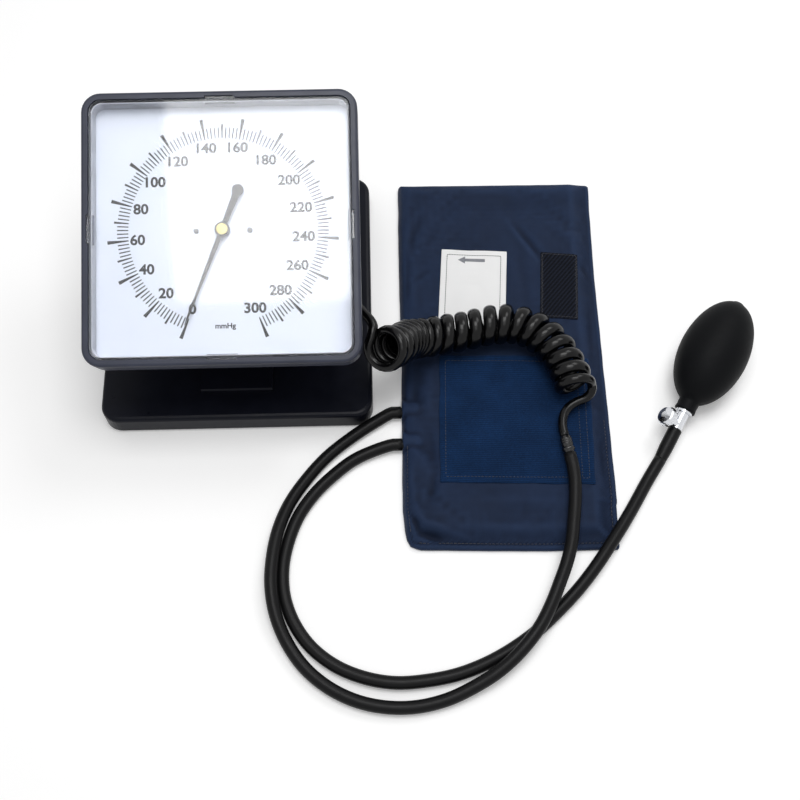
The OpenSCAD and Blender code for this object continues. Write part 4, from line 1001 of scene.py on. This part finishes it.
def hooks():
    """Rows of tiny bent hooks on the hook patch, open at the root."""
    verts, faces = [], []
    rows, cols = 44, 22
    spine = [(0, 0), (0.05, 0.4), (0.25, 0.62), (0.5, 0.58), (0.62, 0.35)]
    for j in range(rows):
        for i in range(cols):
            x, y = HOOK.at(2.8 - hook_w / 2 + (hook_w - 5.6) * (i + 0.5 * (j % 2)) / cols,
                           2.6 - hook_l / 2 + (hook_l - 5.2) * (j + 0.5) / rows)
            turn = 0.5 * noise.noise(Vector((i * 1.7, j * 2.3, 0.5))) + (0.9 if j % 2 else 0.9 + pi)
            c, s = cos(turn), sin(turn)
            z = cuff_top(x, y) + 0.75
            *walls, root, tip = ring_faces(len(spine), 4, len(verts))
            faces += [*walls, tip]
            for k, (u, h) in enumerate(spine):
                w = 0.13 - 0.015 * k
                for a, b in ((-w, -w), (w, -w), (w, w), (-w, w)):
                    verts.append(((x + (u + a) * c - b * s) * MM, (y + (u + a) * s + b * c) * MM,
                                  (z + h) * MM))
    return new_mesh("hook_bristles", verts, faces, "hook_cloth", "stand")


hooks()


def label_arrow():
    """The printed arrow, in narrow steps along its length so that it lies on the label."""
    rows, verts = 5, []
    start, neck, head, shaft = -10, -4.8, 3.2, 1.3
    us = [*np.arange(start, neck, 0.4), neck, -4.79, *np.arange(-4.4, 10.01, 0.6)]
    for u in us:
        half = head * (u - start) / (neck - start) + 0.02 if u <= neck else shaft
        for lift, across in ((0.5, range(rows)), (0.3, reversed(range(rows)))):
            for k in across:
                x, y = LABEL.at(u - 1.8, 26.2 + half * (2 * k / (rows - 1) - 1))
                verts.append((x * MM, y * MM, (cuff_top(x, y) + lift) * MM))
    return new_mesh("label_arrow", verts, ring_faces(len(us), 2 * rows), "grey_print", "stand", False)


label_arrow()


# Gauge dial

TILT = radians(20)
HEAD = (Matrix.Translation((0, 13 * MM, 58 * MM)) @ Matrix.Rotation(TILT, 4, "X")
        @ Matrix.Translation((0, 0, 72 * MM)))
ZERO_ANGLE, SWEEP, TOP_READING, DIAL_Z = -111.75, 316.5, 300, -14
# How far each printed number stands from the dial's middle, in mm, from 0 to 300
NUMBER_R = (55.3, 55.3, 55.9, 56.2, 56.0, 55.3, 55.3, 56.6, 56.8, 55.3, 55.0, 53.5, 53.1, 53.9, 54.6, 55.3)
NUMBER_H, UNIT_H, PRINT_T = 6.8, 4.6, 0.08
# How high the font's digits are at size 1, and how much wider than the font the print is
DIGIT_HEIGHT, PRINT_STRETCH = 0.73, 1.06
# The marks: where they start, then length, inner and outer width of each kind, all in mm
MARK_R, MARK_T = 62.1, 0.1
LONG_MARK, MEDIUM_MARK, SHORT_MARK = (14, 0.7, 2.4), (9.7, 0.7, 1.4), (7.4, 0.7, 0.85)


def on_head(x, y, z):
    """A place on the tilted gauge, given in mm from the middle of its front."""
    return HEAD @ Vector((x * MM, y * MM, z * MM))


def dial_angle(reading):
    return radians(ZERO_ANGLE - SWEEP * reading / TOP_READING)


def text_mesh(name, items):
    """Lettering on the dial as one mesh: items are (text, x, y, height), in mm from the dial's middle."""
    verts, faces = [], []
    for text, x, y, height in items:
        curve = bpy.data.curves.new(name + "_curve", "FONT")
        curve.body, curve.offset, curve.resolution_u = text, 0.03, 4
        obj = add_object(name + "_curve", curve)
        bpy.context.view_layer.update()
        mesh = bpy.data.meshes.new_from_object(obj.evaluated_get(bpy.context.evaluated_depsgraph_get()))
        co = np.array([v.co for v in mesh.vertices]).reshape(-1, 3)
        lo, hi = co.min(0), co.max(0)
        middle = (lo + hi) / 2
        k = height / (DIGIT_HEIGHT if text.isdigit() else hi[1] - lo[1])
        start = len(verts)
        top = [((p[0] - middle[0]) * k * PRINT_STRETCH + x, (p[1] - middle[1]) * k + y) for p in co]
        verts += [on_head(u, v, DIAL_Z + lift) for lift in (PRINT_T, 0) for u, v in top]
        edges = {}
        for f in mesh.polygons:
            q = list(f.vertices)
            faces.append(tuple(start + i for i in q))
            edges.update(dict.fromkeys(zip(q, q[1:] + q[:1])))
        off = start + len(co)
        faces += [(start + b, start + a, off + a, off + b) for a, b in edges if (b, a) not in edges]
        bpy.data.objects.remove(obj)
        bpy.data.curves.remove(curve)
        bpy.data.meshes.remove(mesh)
    return new_mesh(name, verts, faces, "dial_print", "gauge_head", False)


def dial_marks():
    """The printed marks, one for each 2 mmHg: wedges that widen outwards, at the CAD's radius and angles."""
    verts, faces = [], []
    for i in range(TOP_READING // 2 + 1):
        length, root, tip = LONG_MARK if i % 10 == 0 else MEDIUM_MARK if i % 5 == 0 else SHORT_MARK
        c, q = cos(dial_angle(2 * i)), sin(dial_angle(2 * i))
        far = MARK_R + length
        faces += ring_faces(2, 4, len(verts))
        for z in (DIAL_Z, DIAL_Z + MARK_T):
            for u, v in ((MARK_R, -root / 2), (far, -tip / 2), (far, tip / 2), (MARK_R, root / 2)):
                verts.append(on_head(u * c - v * q, u * q + v * c, z))
    return new_mesh("dial_marks", verts, faces, "dial_print", "gauge_head", False)


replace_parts(dial_marks(), "dial_scale")
numbers = [(20 * i, far, dial_angle(20 * i)) for i, far in enumerate(NUMBER_R)]
text_mesh("dial_numbers", [(str(n), far * cos(a), far * sin(a), NUMBER_H) for n, far, a in numbers])
text_mesh("dial_unit", [("mmHg", 1, -63.4, UNIT_H)])


# The wall between window and dial: half its width, its corners, its thickness, half its ridges' length
WALL_HALF, WALL_CORNER, WALL_T, RIDGE_HALF = 83.7, 7.0, 0.5, 10


def dial_surround():
    """The pale inner wall between the window and the dial, with a low ridge beside each snap tab whose faces
    are darker: painted shade of the slot behind the tab.
    """
    line = []
    for q in range(4):
        c, s = cos(radians(90 * q)), sin(radians(90 * q))
        side = [(WALL_HALF, v) for v in (-60, -30, -11, -RIDGE_HALF, 0, RIDGE_HALF, 11, 30, 60)]
        side += [[WALL_HALF - WALL_CORNER + WALL_CORNER * f(radians(a)) for f in (cos, sin)]
                 for a in range(0, 90, 10)]
        line += [(x * c - y * s, x * s + y * c, abs(y) <= RIDGE_HALF) for x, y in side]
    section = [(0, -13.95), (0, -6.4), (-0.7, -6.1), (-0.7, -4.6), (0, -4.3), (0, -2.9), (WALL_T, -2.75),
               (WALL_T, -13.95)]
    count, verts, faces, slot_shade_faces = len(section), [], [], []
    for x, y, ridge in line:
        for out, z in section:
            k = 1 + ((out if ridge else max(0, out)) - WALL_T) / hypot(x, y)
            verts.append(on_head(x * k, y * k, z))
    for i in range(len(line)):
        j = (i + 1) % len(line)
        faces += [(i * count + k, j * count + k, j * count + (k + 1) % count, i * count + (k + 1) % count)
                  for k in range(count)]
        if line[i][2] and line[j][2]:
            slot_shade_faces += [len(faces) - count + k for k in (1, 2, 3)]
    obj = new_mesh("dial_surround", verts, faces, "tray_white", "gauge_head", False)
    # The ridges' faces take the darker colour, as painted shade of the slots
    obj.data.materials.append(M["snap_seat"])
    for k in slot_shade_faces:
        obj.data.polygons[k].material_index = 1


dial_surround()


# Bulb

BULB_YAW, BULB_RISE = radians(59.5), radians(11.2)
BULB_R, BULB_LEN, NECK_R = 24, 89, 7.5
# The egg takes up the bulb's length but for its neck
EGG_HALF = (BULB_LEN - 7) / 2
EGG_MIDDLE = BULB_LEN - EGG_HALF
NECK_END = Vector((313, -101, 15.53)) * MM
BULB_AXIS = Vector((cos(BULB_RISE) * cos(BULB_YAW), cos(BULB_RISE) * sin(BULB_YAW),
                    sin(BULB_RISE)))


def bulb_radius(x):
    q = (x - EGG_MIDDLE) / EGG_HALF
    egg = BULB_R * sqrt(max(0, 1 - q * q)) if abs(q) < 1 else 0
    neck = NECK_R - 0.5 + 0.45 * groove(x - 1.2, 1.6)
    return (neck ** 7 + egg ** 7) ** (1 / 7) if x < 20 else egg


def rubber_bulb():
    """The bulb with its thick neck rim, a moulding seam, a little waviness and a ring round the end valve."""
    xs = [0.7, 1.3, *range(2, 13), 13.5, 15, 17, 19, *np.linspace(21, 84, 40),
          85.2, 86.2, 87, 87.6, 88.1, 88.4]
    skin = [(0.0, 6.4), (0.15, 6.9)] + [(x, bulb_radius(x)) for x in xs]
    profile = [(0.0, 4.2)] + [(x, r) for x, r in skin if r > 4.6 or x < 40]
    end = profile[-1][0]
    profile += [(end + 0.2, 4.9), (end - 0.3, 4.5), (end - 2.5, 4.3)]
    obj = revolve("bulb_skin", profile, NECK_END, BULB_AXIS, "bulb_rubber", 96)
    side = BULB_AXIS.cross(Vector((0, 0, 1))).normalized()
    up = side.cross(BULB_AXIS)
    for v in obj.data.vertices:
        p = v.co - NECK_END
        far, a, b = p.dot(BULB_AXIS), p.dot(side), p.dot(up)
        radial = hypot(a, b)
        if radial < 6 * MM or not 4 * MM < far < 82 * MM:
            continue
        seam = 0.22 * MM * groove(b, 0.7 * MM)
        wobble = 0.25 * MM * noise.noise(v.co * 28)
        v.co += (side * a + up * b) / radial * (seam + min(0, wobble) - 0.02 * MM)
    return obj


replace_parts(rubber_bulb(), "bulb")


# Floor, light and world

FLOOR_HALF, FLOOR_Z, OBJECT_MIDDLE = 3, -0.0002, (0.13, -0.1, 0)
# The floor's glow near the object, and from how far it grows until it is white
FLOOR_GLOW, GLOW_FROM, GLOW_TO = 0.19, 0.55, 1.4
ROOM_LIGHT = 0.26


def floor():
    """The white sweep: lit like the rest, with a glow for background rays that grows far away."""
    data = bpy.data.meshes.new("floor")
    corners = ((-1, -1), (1, -1), (1, 1), (-1, 1))
    data.from_pydata([(FLOOR_HALF * x, FLOOR_HALF * y, FLOOR_Z) for x, y in corners], [], [(0, 1, 2, 3)])
    s = Surface("floor_white", Roughness=0.9, Specular_IOR_Level=0.0)
    s.colour(s.ramp(s.noise(2, 2), (0.3, (0.96, 0.96, 0.96, 1)), (0.7, (0.975, 0.975, 0.975, 1))))
    far = s.add("VectorMath", {"operation": "DISTANCE"}, i0=s.coords, i1=OBJECT_MIDDLE)
    level = s.add("MapRange", Value=far.outputs["Value"], From_Min=GLOW_FROM,
                  From_Max=GLOW_TO, To_Min=FLOOR_GLOW, To_Max=1.0).outputs[0]
    glow = s.add("Emission", Strength=s.math("MULTIPLY", s.background_rays(), level)).outputs[0]
    s.show(s.add("AddShader", i0=s.bsdf.outputs[0], i1=glow).outputs[0])
    data.materials.append(s.mat)
    add_object("floor", data)


def area(name, at, target, size, power):
    data = bpy.data.lights.new(name, "AREA")
    data.shape, data.size, data.size_y, data.energy = "RECTANGLE", size[0], size[1], power
    aim(add_object(name, data), at, target)


def world():
    """A dim grey room that background rays see as white."""
    studio = bpy.data.worlds.new("studio")
    bpy.context.scene.world = studio
    studio.use_nodes = True
    nodes = Nodes(studio.node_tree)
    level = nodes.add("MapRange", Value=nodes.background_rays(), To_Min=ROOM_LIGHT, To_Max=1.0)
    background = nodes.tree.nodes["Background"]
    nodes.feed(background, "Color", (1, 1, 1, 1))
    nodes.feed(background, "Strength", level.outputs[0])


floor()
world()
area("overhead", (0.155, 0.0, 1.6), (0.155, 0.0, 0), (0.89, 0.66), 11.6)
area("front", (0.15, -0.73, 1.6), OBJECT_MIDDLE, (0.9, 0.55), 2.8)
area("back", (0.85, 0.75, 1.5), OBJECT_MIDDLE, (0.7, 0.7), 7)
bpy.context.scene.view_settings.view_transform = "Standard"
